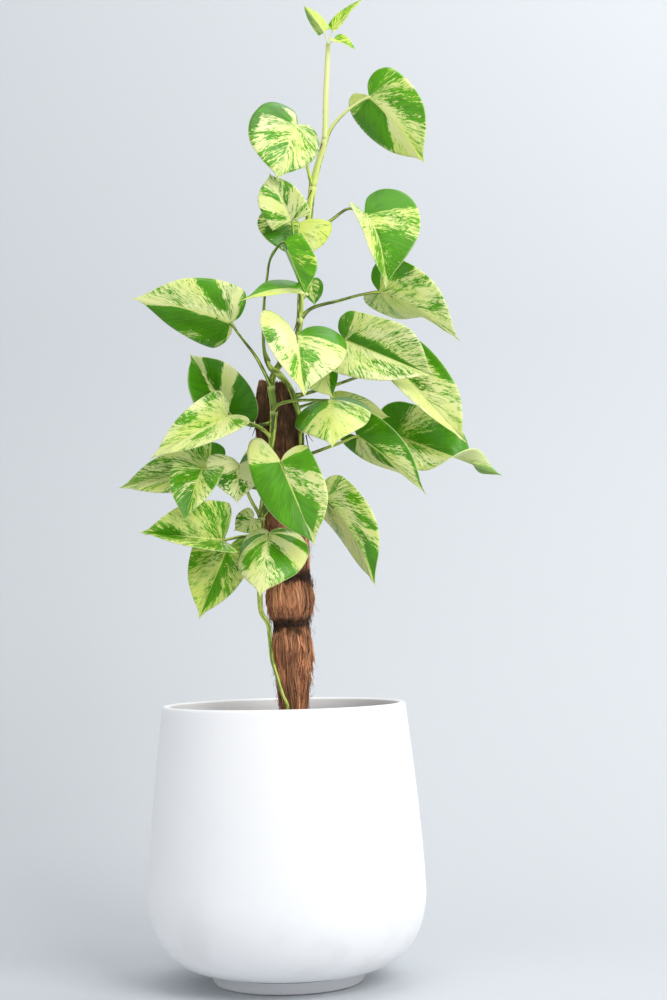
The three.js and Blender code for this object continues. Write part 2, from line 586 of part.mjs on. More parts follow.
// A surface given a thickness, with both faces and a wall round its edge.
function thicken(surface, thickness) {
  const count = surface.attributes.position.count;
  const positions = [];
  const point = new THREE.Vector3();
  const normal = new THREE.Vector3();
  for (const offset of [thickness / 2, -thickness / 2]) {
    for (let i = 0; i < count; i++) {
      point.fromBufferAttribute(surface.attributes.position, i);
      normal.fromBufferAttribute(surface.attributes.normal, i);
      point.addScaledVector(normal, offset);
      positions.push(point.x, point.y, point.z);
    }
  }
  const index = [];
  const edges = new Set();
  const faces = surface.index.array;
  for (let i = 0; i < faces.length; i += 3) {
    const [a, b, c] = [faces[i], faces[i + 1], faces[i + 2]];
    index.push(a, b, c, count + a, count + c, count + b);
    for (const [from, to] of [[a, b], [b, c], [c, a]]) edges.add(from + "," + to);
  }
  for (const edge of edges) {
    const [from, to] = edge.split(",").map(Number);
    if (edges.has(to + "," + from)) continue;
    index.push(from, count + from, to, to, count + from, count + to);
  }
  const geometry = new THREE.BufferGeometry();
  geometry.setAttribute("position", new THREE.Float32BufferAttribute(positions, 3));
  geometry.setIndex(index);
  return geometry;
}

// A leaf: its blade, the stalk that carries it, and the rib that runs on from the stalk under the blade's base.
function leafSolid(leaf) {
  const { joint, length, turn } = bladePlacing(leaf);
  const place = new THREE.Matrix4().makeTranslation(joint).multiply(turn);
  const blade = thicken(bladeSurface(leaf, length), BLADE_THICKNESS).applyMatrix4(place);
  const ribEnd = midrib(leaf, RIB_SHARE, length);
  const under = new THREE.Vector3(0, 0, -RIB_DEPTH).applyMatrix4(place);
  const end = new THREE.Vector3(ribEnd.sideways, ribEnd.forward, ribEnd.down - RIB_DEPTH / 2);
  end.applyMatrix4(place);
  const points = [...leaf.stalk.map((point) => new THREE.Vector3(...point)), under];
  const curve = new THREE.CatmullRomCurve3(points, false, "centripetal");
  const steps = Math.max(LEAST_STALK_STEPS, Math.round(curve.getLength() / STALK_STEP));
  const thickness = STALK_RADIUS * Math.min(1, leaf.width / FULL_STALK_WIDTH);
  const taper = (from, to) => (along) => thickness * THREE.MathUtils.lerp(from, to, along);
  const stalk = taperedTube(curve, steps, STALK_SIDES, taper(STALK_FLARE, STALK_END));
  const rib = taperedTube(new THREE.LineCurve3(under, end), 1, STALK_SIDES, taper(STALK_END, RIB_END));
  return solidOf(blade).add(solidOf(stalk)).add(solidOf(rib));
}

function namedMesh(name, geometry, material) {
  const mesh = new THREE.Mesh(geometry, material);
  mesh.name = name;
  return mesh;
}

// The assembly
const plant = new THREE.Group();
plant.add(namedMesh("planter", planter(), whiteGlaze));

const vineSeats = { main: solidOf(vineTube(MAIN_VINE, GAP)), second: solidOf(vineTube(SECOND_VINE, GAP)) };
const coirHole = solidOf(coirSkin(GAP));
const soil = solidOf(pottingSoil()).subtract(coirHole).subtract(vineSeats.main);
plant.add(namedMesh("potting_soil", geometryOf(soil), darkMix));

const coir = solidOf(coirSkin(0)).subtract(vineSeats.main).subtract(vineSeats.second);
plant.add(namedMesh("coir_pole", geometryOf(coir), coirBrown));
TIE_HEIGHTS.forEach((height, i) => {
  plant.add(namedMesh(`tie_${i + 1}`, tie(height), tieBlack));
});

plant.add(namedMesh("main_vine", vineTube(MAIN_VINE, 0), vineGreen));
const secondVine = solidOf(vineTube(SECOND_VINE, 0)).subtract(vineSeats.main);
plant.add(namedMesh("second_vine", geometryOf(secondVine), vineGreen));

LEAVES.forEach((leaf, i) => {
  const solid = leafSolid(leaf).subtract(vineSeats[leaf.vine]);
  const geometry = geometryOf(solid);
  geometry.translate(...leaf.joint.map((value) => -value));
  const mesh = namedMesh(`leaf_${String(i + 1).padStart(2, "0")}`, geometry, leafGreen);
  mesh.position.set(...leaf.joint);
  plant.add(mesh);
});

export default plant;
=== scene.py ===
# A marble queen pothos: two vines with marbled leaves climb a coir pole in a round white planter.
# Points are made in millimetres, and new_object turns them into Blender's metres.
import math
import random

import bpy
import numpy as np
from mathutils import Matrix, Vector


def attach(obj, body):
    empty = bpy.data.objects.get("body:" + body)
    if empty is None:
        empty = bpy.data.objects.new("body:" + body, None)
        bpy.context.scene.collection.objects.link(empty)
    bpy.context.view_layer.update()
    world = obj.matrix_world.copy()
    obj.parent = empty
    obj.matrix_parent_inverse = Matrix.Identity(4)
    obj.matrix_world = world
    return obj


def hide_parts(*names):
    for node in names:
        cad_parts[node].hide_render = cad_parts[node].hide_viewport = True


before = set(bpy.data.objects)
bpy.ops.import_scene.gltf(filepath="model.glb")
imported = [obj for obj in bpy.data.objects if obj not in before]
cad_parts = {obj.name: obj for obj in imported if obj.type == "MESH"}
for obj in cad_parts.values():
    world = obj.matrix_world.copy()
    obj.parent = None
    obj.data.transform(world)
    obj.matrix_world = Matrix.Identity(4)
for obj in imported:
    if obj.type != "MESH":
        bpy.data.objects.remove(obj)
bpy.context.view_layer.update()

bl_info = {
    "name": "Potted marble queen pothos",
    "version": (1, 0, 0),
    "blender": (4, 5, 0),
    "location": "3D View > Sidebar > Pothos",
    "description": "Makes the finished surfaces of a marble queen pothos on a coir pole in a white planter",
    "category": "Object",
}

MM = 0.001
DEGREE = math.pi / 180


def srgb(red, green, blue):
    """A colour of 0 to 255 as seen on a screen, in Blender's linear values."""
    shares = [value / 255 for value in (red, green, blue)]
    return tuple(s / 12.92 if s <= 0.04045 else ((s + 0.055) / 1.055) ** 2.4 for s in shares)


# The planter's outline: the base, the foot, the belly and the rim, in millimetres.
PLANTER_HEIGHT = 315
PLANTER_WALL = 8
PLANTER_FLOOR = 14
BASE_RADIUS = 80
BASE_BEVEL = [(-0.8, 0), (0, 0.3), (3.6, 1.4), (5, 3)]  # (outwards, up) from the base's radius
FOOT_RADIUS = 92
FOOT_HEIGHT = 17
BELLY_RADIUS = 158.5
BELLY_HEIGHT = 102
BELLY_FULLNESS = 0.96
RIM_RADIUS = 139.5
RIM_ROUNDING = 2.5
UPPER_FULLNESS = 1.35
SOIL_TOP = 286

# The coir pole's outline at a height: (height, half width, sideways shift, front-to-back share).
POLE_BOTTOM = 190
POLE_TOP = 688
POLE_OUTLINE = [
    (POLE_BOTTOM, 14, 13, 1.0), (300, 15, 12, 1.0), (345, 19, 12, 0.95), (380, 22.5, 12, 0.95),
    (405, 19.5, 11, 0.9), (432, 27, 11.5, 0.9), (460, 23, 10, 0.9), (485, 26, 8, 0.9), (540, 24, 4, 0.95),
    (600, 24.5, 0, 0.95), (650, 24, -3, 0.95), (675, 22, -4, 0.95), (POLE_TOP, 18, -5, 0.9),
]
TIE_HEIGHTS = (405, 460)

# Each vine's path as (x, y, z, radius) from its foot to its tip, and the heights of its nodes.
MAIN_VINE_PATH = [
    (2, -17, 262, 2.4), (4, -20, 300, 2.5), (5, -20, 312, 2.5), (0, -20, 325, 2.5), (-7, -17, 349, 2.6),
    (-12, -14, 366, 2.7), (-14, -13, 391, 2.9), (-16, -13, 407, 3.1), (-23, -13, 419, 3.4),
    (-24.5, -14, 437, 3.8), (-22, -17, 479, 4.2), (-21, -18, 527, 4.5), (-12, -25, 582, 4.6),
    (-4, -28, 648, 4.6), (-6.5, -26, 675, 4.6), (-3, -18, 694, 4.6), (12, -14, 715, 4.5), (24, -13, 737, 4.4),
    (27.5, -12, 756, 4.4), (28.5, -10, 775, 4.5), (33, -6, 832, 4.8), (41, -3, 880, 5.0), (45, 0, 911, 4.9),
    (52, 0, 939, 4.6), (60, 0, 966, 4.3), (63, 0, 1021, 3.9), (67, 0, 1082, 3.3),
]
MAIN_VINE_NODES = (527, 648, 677, 756, 911, 966)
SECOND_VINE_PATH = [
    (-20, -18, 529, 3.4), (-9, -26, 543, 3.5), (8, -27, 562, 3.6), (21, -22, 581, 3.7), (26, -15, 600, 3.8),
    (26.5, -12, 627, 3.9), (25, -13, 640, 3.9), (22, -18, 655, 3.9), (15, -24, 676, 3.9), (3, -27, 691, 3.9),
    (-7, -27, 699, 3.8), (-11, -26, 707, 3.2),
]
SECOND_VINE_NODES = (602, 638, 691)

# One entry for each leaf, from the top down. The joint is where the stalk meets the blade, the tip its point.
# The face looks along facing. Lift raises each half in degrees, curl rolls it back, and lobe is how far it
# reaches back past the joint. Broad is each half's share of the breadth, and slim narrows it towards the tip.
# Droop arches the blade along its length, sway bends its midrib sideways, and twist turns the blade from the
# share twistFrom of its length on. What an entry doesn't name is as in the usual leaf.
USUAL_LEAF = dict(facing=(0, -1, -0.1), curl=(20, 20), droop=20, lobe=(0.7, 0.7), broad=(1, 1), slim=(0, 0),
                  sway=0, twist=0, twistFrom=0)
LEAVES = [
    dict(joint=(62, -9, 1094), tip=(39, -24, 1121), width=22, facing=(-0.5, -0.3, 0.6), lift=(50, 50),
         lobe=(0.1, 0.1), stalk=[(67, -2, 1080)]),
    dict(joint=(72, -3, 1098), tip=(110, -2, 1136), width=17, facing=(-0.5, -0.8, 0.3), lift=(30, 30),
         droop=10, lobe=(0.1, 0.1), stalk=[(67.5, 0, 1080), (70, -1, 1090)]),
    dict(joint=(74, -8, 1085), tip=(99, -18, 1069), width=18, facing=(0.1, -0.7, 0.6), lift=(30, 30),
         curl=(10, 10), lobe=(0.1, 0.1), stalk=[(66, -1, 1078)]),
    dict(joint=(114, -15, 1014), tip=(174, -50, 926), width=96, facing=(0, -1, -0.27), lift=(-30, 22),
         curl=(18, 18), droop=26, sway=0.1, lobe=(1.2, 0.6), broad=(0.84, 0.9), slim=(0.1, -0.6),
         stalk=[(60, 0, 965), (72, -3, 986), (91, -8, 1003)]),
    dict(joint=(29, -36, 976), tip=(6, -60, 908), width=104, facing=(-0.1, -1, -0.1), lift=(20, -16),
         curl=(24, 40), droop=50, lobe=(1.9, 1), broad=(1, 0.74), slim=(-0.3, 0), stalk=[(45, 0, 911),
         (40, -5, 934)]),
    dict(joint=(21, -38, 867), tip=(-3, -46, 920), width=66, facing=(0, -1, -0.2), lift=(20, 20),
         curl=(14, 16), droop=42, lobe=(0.1, 0.1), broad=(0.75, 0.8), slim=(0, -1), stalk=[(31, -8, 796),
         (27, -34, 812), (23, -42, 840)]),
    dict(joint=(29, -12, 869), tip=(29, -28, 820), width=90, facing=(0, -0.9, 0.45), lift=(25, 12),
         curl=(25, 25), droop=30, lobe=(1, 0.3), broad=(1.1, 0.85), stalk=[(30, -8, 791), (35, -12, 831)]),
    dict(joint=(12, -60, 838), tip=(36, -72, 775), width=54, facing=(0.1, -1, -0.15), lift=(-80, 24),
         lobe=(0.2, 0.1), broad=(1, 0.85), slim=(0, -1.5), stalk=[(-10, -26, 706), (-14, -22, 721),
         (-13, -18, 776), (-9, -22, 804), (-4, -36, 824)]),
    dict(joint=(27, -30, 788), tip=(-39, -66, 770), width=52, facing=(0, -0.8, 0.6), lift=(0, 28), droop=44,
         lobe=(1.6, 0.2), slim=(1.1, 0), broad=(1, 0.75), stalk=[(28.5, -12, 762), (29, -22, 776)]),
    dict(joint=(41, 10, 803), tip=(45, 2, 774), width=27, facing=(0.2, -1, 0.2), lift=(15, 15), curl=(15, 15),
         droop=15, stalk=[(30, -8, 779), (39, 4, 790)]),
    dict(joint=(106, -20, 875), tip=(126, -66, 781), width=112, facing=(0, -1, -0.2), lift=(62, 12),
         curl=(10, 20), lobe=(0.5, 1), broad=(0.5, 1), slim=(-1, -0.4), sway=0.25, stalk=[(38, -4, 854),
         (65, -4, 872), (88, -14, 884)]),
    dict(joint=(121, -8, 787), tip=(210, -40, 723), width=92, facing=(0, -1, -0.17), lift=(-50, 24),
         curl=(20, 18), droop=30, lobe=(1.1, 0.6), sway=0.2, slim=(2.6, -0.3), broad=(0.85, 0.93),
         stalk=[(27.5, -12, 757), (41, -10, 769), (74, -8, 778), (103, -8, 785)]),
    dict(joint=(-52, -26, 752), tip=(-163, -60, 777), width=90, facing=(0, -1, -0.02), lift=(20, -30),
         curl=(24, 26), droop=24, sway=-0.1, lobe=(0.3, 0.3), slim=(0, 0.6), broad=(0.95, 0.95),
         stalk=[(-6.5, -26, 677), (-16, -28, 698), (-24, -27, 713), (-43, -26, 739)]),
    dict(joint=(24, -62, 729), tip=(33, -122, 654), width=108, facing=(0, -1, 0.1), lift=(50, 16),
         curl=(16, 56), droop=30, lobe=(1.05, 0.7), broad=(0.95, 1.08), stalk=[(4, -16, 706),
         (10, -36, 712)]),
    dict(joint=(80, -22, 729), tip=(180, -50, 682), width=88, facing=(0, -1, -0.14), lift=(48, 26),
         curl=(16, 18), droop=28, lobe=(0.3, 0.5), broad=(1.12, 0.86), slim=(0.2, -1.4),
         stalk=[(24, -13, 737), (53, -20, 741)]),
    dict(joint=(137, -4, 700), tip=(215, -34, 607), width=90, facing=(0, -1, -0.12), lift=(70, 16),
         curl=(8, 14), droop=24, broad=(0.85, 0.95), slim=(0, -0.25), lobe=(0.5, 1.1), stalk=[(20, -20, 666),
         (66, -6, 680), (104, 2, 693)]),
    dict(joint=(48, -24, 709), tip=(64, -36, 661), width=60, lift=(10, 10), broad=(1, 0.6),
         stalk=[(13, -14, 716), (32, -26, 719)]),
    dict(joint=(60, -48, 658), tip=(62, -110, 598), width=96, facing=(0, -1, 0.1), lift=(-5, 8),
         curl=(50, 44), droop=50, slim=(0, -0.3), stalk=[(-4, -28, 648), (1, -37, 655), (21, -42, 659)]),
    dict(joint=(69, -14, 656), tip=(129, -22, 640), width=50, lift=(10, 10), broad=(1, 0.7),
         stalk=[(22, -17, 653), (47, -14, 660)]),
    dict(joint=(-57, -12, 652), tip=(-100, -12, 720), width=88, lift=(40, 56), curl=(16, 10), droop=15,
         lobe=(1.3, 0.7), stalk=[(-5, -27, 636), (-32, -20, 634)]),
    dict(joint=(-57, -42, 643), tip=(-142, -77, 594), width=82, lift=(22, 66), curl=(18, 12), droop=25,
         lobe=(0.3, 0.3), broad=(0.8, 1), slim=(0.2, 0), stalk=[(-7, -27, 619), (-20, -34, 630),
         (-40, -40, 638)]),
    dict(joint=(91, -28, 618), tip=(167, -55, 548), width=64, lift=(-40, 22), curl=(20, 18), droop=25,
         lobe=(1, 0.4), sway=0.12, slim=(1.8, 0), broad=(0.85, 1), stalk=[(26, -15, 598), (37, -20, 600),
         (59, -26, 607), (74, -28, 612)]),
    dict(joint=(133, 16, 623), tip=(257, -10, 571), width=84, lift=(56, 16), curl=(24, 20), droop=25,
         twist=165, twistFrom=0.38, stalk=[(26, -13, 636), (40, -4, 642), (83, 8, 643)]),
    dict(joint=(-44, -36, 588), tip=(-46, -66, 542), width=76, facing=(0, -1, 0.05), lift=(22, 34),
         curl=(18, 18), droop=25, lobe=(0.7, 1.8), stalk=[(-21, -18, 528), (-34, -28, 552)]),
    dict(joint=(4, -74, 587), tip=(41, -112, 491), width=84, facing=(0, -1, 0), lift=(15, 26), curl=(18, 20),
         droop=25, lobe=(1.7, 0.25), broad=(0.88, 0.88), slim=(-0.2, -0.9), stalk=[(-16, -20, 556),
         (-12, -45, 567)]),
    dict(joint=(-78, -12, 587), tip=(-184, -22, 565), width=66, facing=(0, -1, -0.07), lift=(32, 56),
         curl=(16, 14), stalk=[(-14, -24, 573), (-51, -16, 583)]),
    dict(joint=(-85, -52, 582), tip=(-104, -98, 522), width=58, facing=(0, -1, 0), lift=(15, 38),
         curl=(24, 12), droop=25, broad=(1.15, 1), lobe=(0.1, 0.1), stalk=[(-15.6, -22, 560), (-45, -24, 566),
         (-70, -38, 577)]),
    dict(joint=(51, -30, 549), tip=(107, -55, 446), width=86, facing=(0, -1, -0.05), lift=(-62, 26), droop=22,
         lobe=(0.5, 0.4), sway=0.25, slim=(0, -0.8), broad=(1, 0.78), stalk=[(14, -25, 570), (35, -30, 560)]),
    dict(joint=(-65, -46, 502), tip=(-155, -76, 512), width=90, facing=(0, -1, -0.03), lift=(22, 78),
         curl=(20, 8), droop=25, lobe=(0.2, 0.1), stalk=[(-22, -17, 507), (-44, -36, 506)]),
    dict(joint=(-61, -18, 493), tip=(-93, -42, 413), width=76, facing=(0, -1, -0.03), lift=(22, 44),
         curl=(18, 16), droop=22, broad=(1, 1.1), stalk=[(-22, -17, 487), (-44, -17, 488)]),
    dict(joint=(-11, -62, 508), tip=(-21, -106, 436), width=100, facing=(0, -1, 0), lift=(-8, 6),
         curl=(70, 44), droop=50, lobe=(0.9, 0.9), broad=(0.9, 1), stalk=[(-21, -18, 513), (-17, -42, 512)]),
    dict(joint=(-30, -26, 527), tip=(-52, -30, 513), width=31, facing=(0, -1, 0.3), lift=(12, 12),
         stalk=[(-21, -18, 521), (-25, -23, 523)]),
]

# How each leaf is marbled. Green is how much of the right and the left half is green, from -1 for cream to 1
# for solid green, walking from the joint to the tip. Tone runs from bright to dark green, and warmth from
# cream to yellow-green. A zone is (half, from, to, inner, outer, amount), and adds green between two shares
# of the way from the tip to the joint, and between two shares of the way from the midrib to the margin.
LEAF_MARKS = [
    dict(green=(-0.05, -0.35), tone=0.1, warmth=0.9, zones=[(0, 0.1, 0.9, 0.6, 1, 0.3)]),
    dict(green=(-0.2, -0.05), tone=0.1, warmth=1.0),
    dict(green=(-0.3, -0.1), tone=0.3, warmth=0.85),
    dict(green=(0.05, 0.24), tone=0.15, warmth=0.5, zones=[(0, 0.34, 0.64, 0.05, 0.9, 1.2),
         (0, 0.72, 1, 0, 1, -0.5), (0, 0, 0.32, 0, 1, -0.6), (1, 0.62, 0.95, 0.1, 1, 0.3),
         (1, 0.46, 0.55, 0.1, 1, -0.12), (1, 0.32, 0.43, 0.25, 1, 0.16), (1, 0, 0.26, 0, 1, -0.36),
         (1, 0, 0.46, 0, 0.26, -0.5)]),
    dict(green=(-0.1, -0.12), tone=0.5, warmth=0.3, zones=[(0, 0.86, 1, 0, 1, 1.1),
         (0, 0.74, 0.84, 0.4, 0.8, -0.45), (0, 0.72, 0.86, 0.8, 1, 0.9), (0, 0.58, 0.72, 0.2, 1, 1.0),
         (0, 0.42, 0.57, 0.84, 1, 0.9), (0, 0.34, 0.4, 0.1, 1, 0.35), (0, 0.42, 0.57, 0, 0.84, -0.12)]),
    dict(green=(-0.35, -0.3), tone=0.45, warmth=0.35, zones=[(1, 0.6, 0.76, 0.3, 1, 1.0),
         (1, 0.42, 0.5, 0.2, 1, 0.8), (1, 0.24, 0.31, 0.15, 1, 0.65), (0, 0.28, 0.36, 0.1, 1, 0.65),
         (0, 0.5, 0.56, 0.1, 1, 0.5), (0, 0.1, 0.16, 0, 1, 0.5)]),
    dict(green=(-0.02, -0.42), tone=0.7, warmth=0.75, zones=[(0, 0.3, 0.45, 0.2, 1, 0.35)]),
    dict(green=(0.4, 0.46), tone=0.0, warmth=1.0),
    dict(green=(0.8, -0.38), tone=0.1, warmth=0.8),
    dict(green=(-0.1, 0.1), tone=0.5, warmth=0.4, zones=[(0, 0, 1, 0.7, 1, 0.7), (1, 0, 1, 0.7, 1, 0.7)]),
    dict(green=(-0.12, 0.12), tone=0.35, warmth=0.5, zones=[(1, 0.5, 1, 0.1, 1, 1.1),
         (1, 0.34, 0.5, 0.06, 1, -0.16), (1, 0.1, 0.34, 0.06, 1, 0.3), (1, 0, 0.1, 0, 1, -0.4),
         (0, 0.8, 1, 0.2, 1, 0.9), (0, 0.1, 0.3, 0.2, 1, 0.2)]),
    dict(green=(-0.32, -0.22), tone=0.4, warmth=0.35, zones=[(1, 0.66, 0.96, 0.16, 1, 1.15),
         (1, 0.12, 0.44, 0.62, 1, 0.22), (1, 0, 0.14, 0, 1, 0.3), (1, 0.46, 0.62, 0.4, 1, 0.9),
         (0, 0.72, 1, 0, 1, 0.35)]),
    dict(green=(-0.16, 0.25), tone=0.4, warmth=0.3, zones=[(0, 0.41, 0.48, 0.3, 1, 0.8),
         (0, 0.6, 0.86, 0.55, 1, 0.75), (0, 0, 0.14, 0, 1, -0.7), (1, 0.22, 0.72, 0.06, 1, 1.0),
         (1, 0.42, 0.72, 0.66, 1, -1.15), (1, 0.74, 1, 0, 1, -1.2), (1, 0, 0.2, 0, 1, -1.0),
         (1, 0.26, 0.34, 0, 0.3, -0.9)]),
    dict(green=(-0.46, -0.3), tone=0.35, warmth=0.35, zones=[(0, 0.42, 0.52, 0.6, 1, 0.7),
         (0, 0.2, 0.4, 0.15, 0.9, 0.32), (1, 0.5, 0.95, 0.12, 1, 1.3), (1, 0.36, 0.48, 0.3, 1, -0.12),
         (1, 0.1, 0.36, 0, 0.6, 0.5)]),
    dict(green=(-0.28, -0.18), tone=0.45, warmth=0.35, zones=[(1, 0.88, 1, 0, 1, -0.5),
         (1, 0.58, 0.86, 0.15, 1, 0.75), (1, 0.1, 0.5, 0, 0.34, 1.0), (1, 0.25, 0.6, 0.4, 1, -0.05),
         (0, 0.2, 0.36, 0.35, 0.9, 0.5), (0, 0.62, 0.76, 0.3, 0.9, 0.35), (0, 0.1, 0.6, 0, 0.2, -0.1)]),
    dict(green=(-0.42, -0.14), tone=0.4, warmth=0.35, zones=[(1, 0.54, 0.95, 0.12, 1, 1.1),
         (1, 0.4, 0.54, 0.8, 1, 0.7), (1, 0, 0.3, 0, 0.8, -0.12)]),
    dict(green=(-0.5, -0.3), tone=0.35, warmth=0.5, zones=[(1, 0.1, 0.8, 0.5, 1, 1.1)]),
    dict(green=(-0.3, -0.3), tone=0.3, warmth=0.5, zones=[(0, 0.36, 1, 0.05, 1, 1.1),
         (1, 0.5, 0.96, 0.08, 1, 1.1), (1, 0.36, 0.48, 0.1, 1, 0.25)]),
    dict(green=(-0.6, -0.5), tone=0.4, warmth=0.4),
    dict(green=(0.4, 0.25), tone=0.75, warmth=0.3, zones=[(0, 0.5, 1, 0, 1, 0.8),
         (0, 0.37, 0.46, 0, 1, -1.15), (0, 0.26, 0.34, 0.3, 1, 0.5), (0, 0, 0.22, 0, 1, -0.75),
         (1, 0.2, 0.55, 0.3, 1, 0.6), (1, 0, 0.5, 0, 0.26, -0.4)]),
    dict(green=(-0.24, -0.38), tone=0.3, warmth=0.35, zones=[(0, 0.52, 0.62, 0.75, 1, 0.5),
         (0, 0.34, 0.42, 0.6, 1, 0.35), (1, 0.26, 0.42, 0.25, 0.6, 0.35), (1, 0.5, 0.62, 0.5, 0.8, 0.35)]),
    dict(green=(-0.28, 0.5), tone=0.5, warmth=0.35, zones=[(1, 0.04, 0.38, 0.1, 0.86, -0.7),
         (0, 0.6, 1, 0.1, 1, 1.1), (0, 0.3, 0.42, 0, 0.7, 0.8)]),
    dict(green=(-0.32, 0.3), tone=0.4, warmth=0.4, zones=[(1, 0.6, 0.9, 0.2, 1, 0.3),
         (1, 0.15, 0.4, 0.3, 1, 0.6), (1, 0.44, 0.58, 0.3, 1, -0.25), (0, 0, 0.16, 0, 1, 0.4),
         (0, 0.3, 0.5, 0.1, 0.4, 0.3), (1, 0, 0.1, 0, 1, 0.3)]),
    dict(green=(-0.34, -0.32), tone=0.85, warmth=0.02, zones=[(0, 0.3, 0.38, 0.1, 0.9, 0.65),
         (0, 0.1, 0.18, 0, 1, 0.45), (1, 0.6, 0.92, 0, 0.6, 0.7), (1, 0.2, 0.28, 0.1, 0.9, 0.6)]),
    dict(green=(0.1, -0.25), tone=0.1, warmth=0.4, zones=[(0, 0.08, 0.6, 0.02, 1, 1.5),
         (0, 0.62, 1, 0, 1, -0.65), (0, 0.66, 0.75, 0.35, 0.75, 0.6), (1, 0.45, 0.58, 0.08, 1, 0.95),
         (1, 0.62, 1, 0, 1, -0.5), (1, 0.3, 0.44, 0.5, 1, 0.2), (1, 0.14, 0.3, 0.04, 0.8, 0.95),
         (0, 0, 0.07, 0, 1, -0.4)]),
    dict(green=(-0.05, -0.3), tone=0.45, warmth=0.4, zones=[(0, 0.62, 1, 0, 1, 1.1),
         (0, 0.05, 0.42, 0.35, 1, 0.28), (0, 0.3, 0.55, 0, 0.35, -0.15)]),
    dict(green=(0.2, -0.05), tone=0.5, warmth=0.4, zones=[(0, 0, 0.2, 0, 1, 0.5), (1, 0, 0.2, 0, 1, 0.5)]),
    dict(green=(-0.36, -0.12), tone=0.3, warmth=0.45, zones=[(1, 0.04, 0.26, 0.5, 1, 0.85),
         (1, 0.35, 0.5, 0.5, 0.85, 0.4), (1, 0.6, 0.9, 0.1, 1, -0.2)]),
    dict(green=(0.0, -0.06), tone=0.4, warmth=0.6, zones=[(0, 0.04, 0.25, 0, 0.6, 0.7),
         (0, 0.27, 0.4, 0.4, 1, -0.2), (1, 0.06, 0.32, 0, 0.7, 0.5)]),
    dict(green=(-0.06, -0.02), tone=0.2, warmth=0.75, zones=[(1, 0.05, 0.3, 0, 0.74, 0.8),
         (1, 0.3, 0.44, 0, 0.4, 0.5), (0, 0.1, 0.3, 0.3, 1, -0.2)]),
    dict(green=(-0.2, -0.08), tone=0.35, warmth=0.4, zones=[(0, 0.5, 0.63, 0.1, 1, 0.8),
         (0, 0.3, 0.4, 0.15, 0.8, 0.65), (1, 0.72, 0.8, 0.15, 1, 0.6), (1, 0.52, 0.62, 0.15, 1, 0.6),
         (1, 0.3, 0.38, 0.15, 1, 0.6), (1, 0.64, 0.7, 0.1, 1, -0.4), (1, 0.4, 0.5, 0.1, 1, -0.6),
         (0, 0, 0.16, 0, 1, -0.4), (1, 0, 0.16, 0, 1, -0.4)]),
    dict(green=(-0.12, -0.1), tone=0.55, warmth=0.4),
]

# Half of a blade's margin in shares of its length and width, from the tip round the lobe to the joint.
MARGIN = [
    (0, 1), (0.018, 0.945), (0.075, 0.875), (0.2, 0.765), (0.345, 0.59), (0.43, 0.37), (0.46, 0.12),
    (0.415, -0.1), (0.285, -0.23), (0.125, -0.22), (0.025, -0.08), (0, 0),
]
MARGIN_HALF_WIDTH = 0.46
VEIN_ORIGIN_END = 0.46
VEIN_BOW = 0.12
SLIMMEST = 0.25  # the least share of its breadth that a half keeps
FOLD_REACH = 5  # a half narrower than this lies flatter, so that the two halves stay apart
WAVES_PER_SIDE = 3
WAVE = 1.5
QUILTS = 11
BLADE_THICKNESS = 0.8
STALK_RADIUS = 1.9
STALK_SIDES = 10
STALK_STEP = 3.5
STALK_SEED = 50
STALK_START, STALK_TAPER = 1.22, 0.58  # its thickness at the vine and what it loses on the way
SHEATH_SWELLING, SHEATH_REACH = 0.9, 0.06
KNEE_PLACE, KNEE_SWELLING, KNEE_REACH = 0.8, 0.35, 0.05
LEAF_SEED_STEP = 3.7
FULL_STALK_WIDTH = 60
RIB_DEPTH = 1.1
RIB_SHARE = 0.16
VINE_SHARE = 0.84  # the living skin's radius as a share of the vine's full one
VINE_SIDES = 20
VINE_STEP = 2.4
SCAR_RISE = 3  # how far a node's scar is above its swelling
NODE_SWELLING, NODE_REACH = 0.9, 6
SCAR_DIP, SCAR_REACH = 0.6, 1.6
SCAR_HALF, RING_HALF = 1.2, 2.2  # half the height of a scar's brown mark and of its pale ring
RING_DROP = 3.5  # how far the pale ring is below the scar

# The marbling is drawn on flat coordinates: along the margin, out from the midrib, and a seed for each leaf.
FULL_LENGTH = 120  # the length of a full-grown blade
MARGIN_FLOW = 150  # the margin of a full-grown half, from tip to joint
HALF_SHIFT = 70  # sets the second half's pattern apart from the first's
GIRTH_FLOW = 26  # once round a vine or stalk
SIDE_VEIN_SPACING = 13
FINE_VEIN_SPACING = 2.6
ZONE_SOFTNESS = 0.02
ZONE_SIDE_SOFTNESS = 0.08

# Where the pole's fibres grow, as heights.
FOLDS_FROM = 300
STRANDS_FROM = 292
FIBRES_FROM = 284
FIBRES_TO = 666
FRINGE_TO = 630

# The ragged top: how far down it starts, how its teeth differ, and the split at one side.
RAGGED_REACH = 26
TOOTH_RANGE = (-10, 2)
TOOTH_SHARE = 0.6
SPLIT_DEPTH = 20
SPLIT_PLACE, SPLIT_WIDTH = -0.32, 0.12
TOP_DIP = 8
WAIST_DEPTH, WAIST_REACH = 2.2, 4.5  # how far a tie draws the coir in, and over what height

# The photograph's camera: its place, the way it looks, and its focal length in pixels of the long side.
CAMERA_PLACE = (62, -2190, 425)
CAMERA_PITCH = 3.2
CAMERA_ROLL = 1.2
CAMERA_FOCAL_PIXELS = 1900
PHOTO_LONG_SIDE = 1000
SENSOR_WIDTH = 36

PATH_SAMPLES = 400
LEAST_GAP = 1e-6


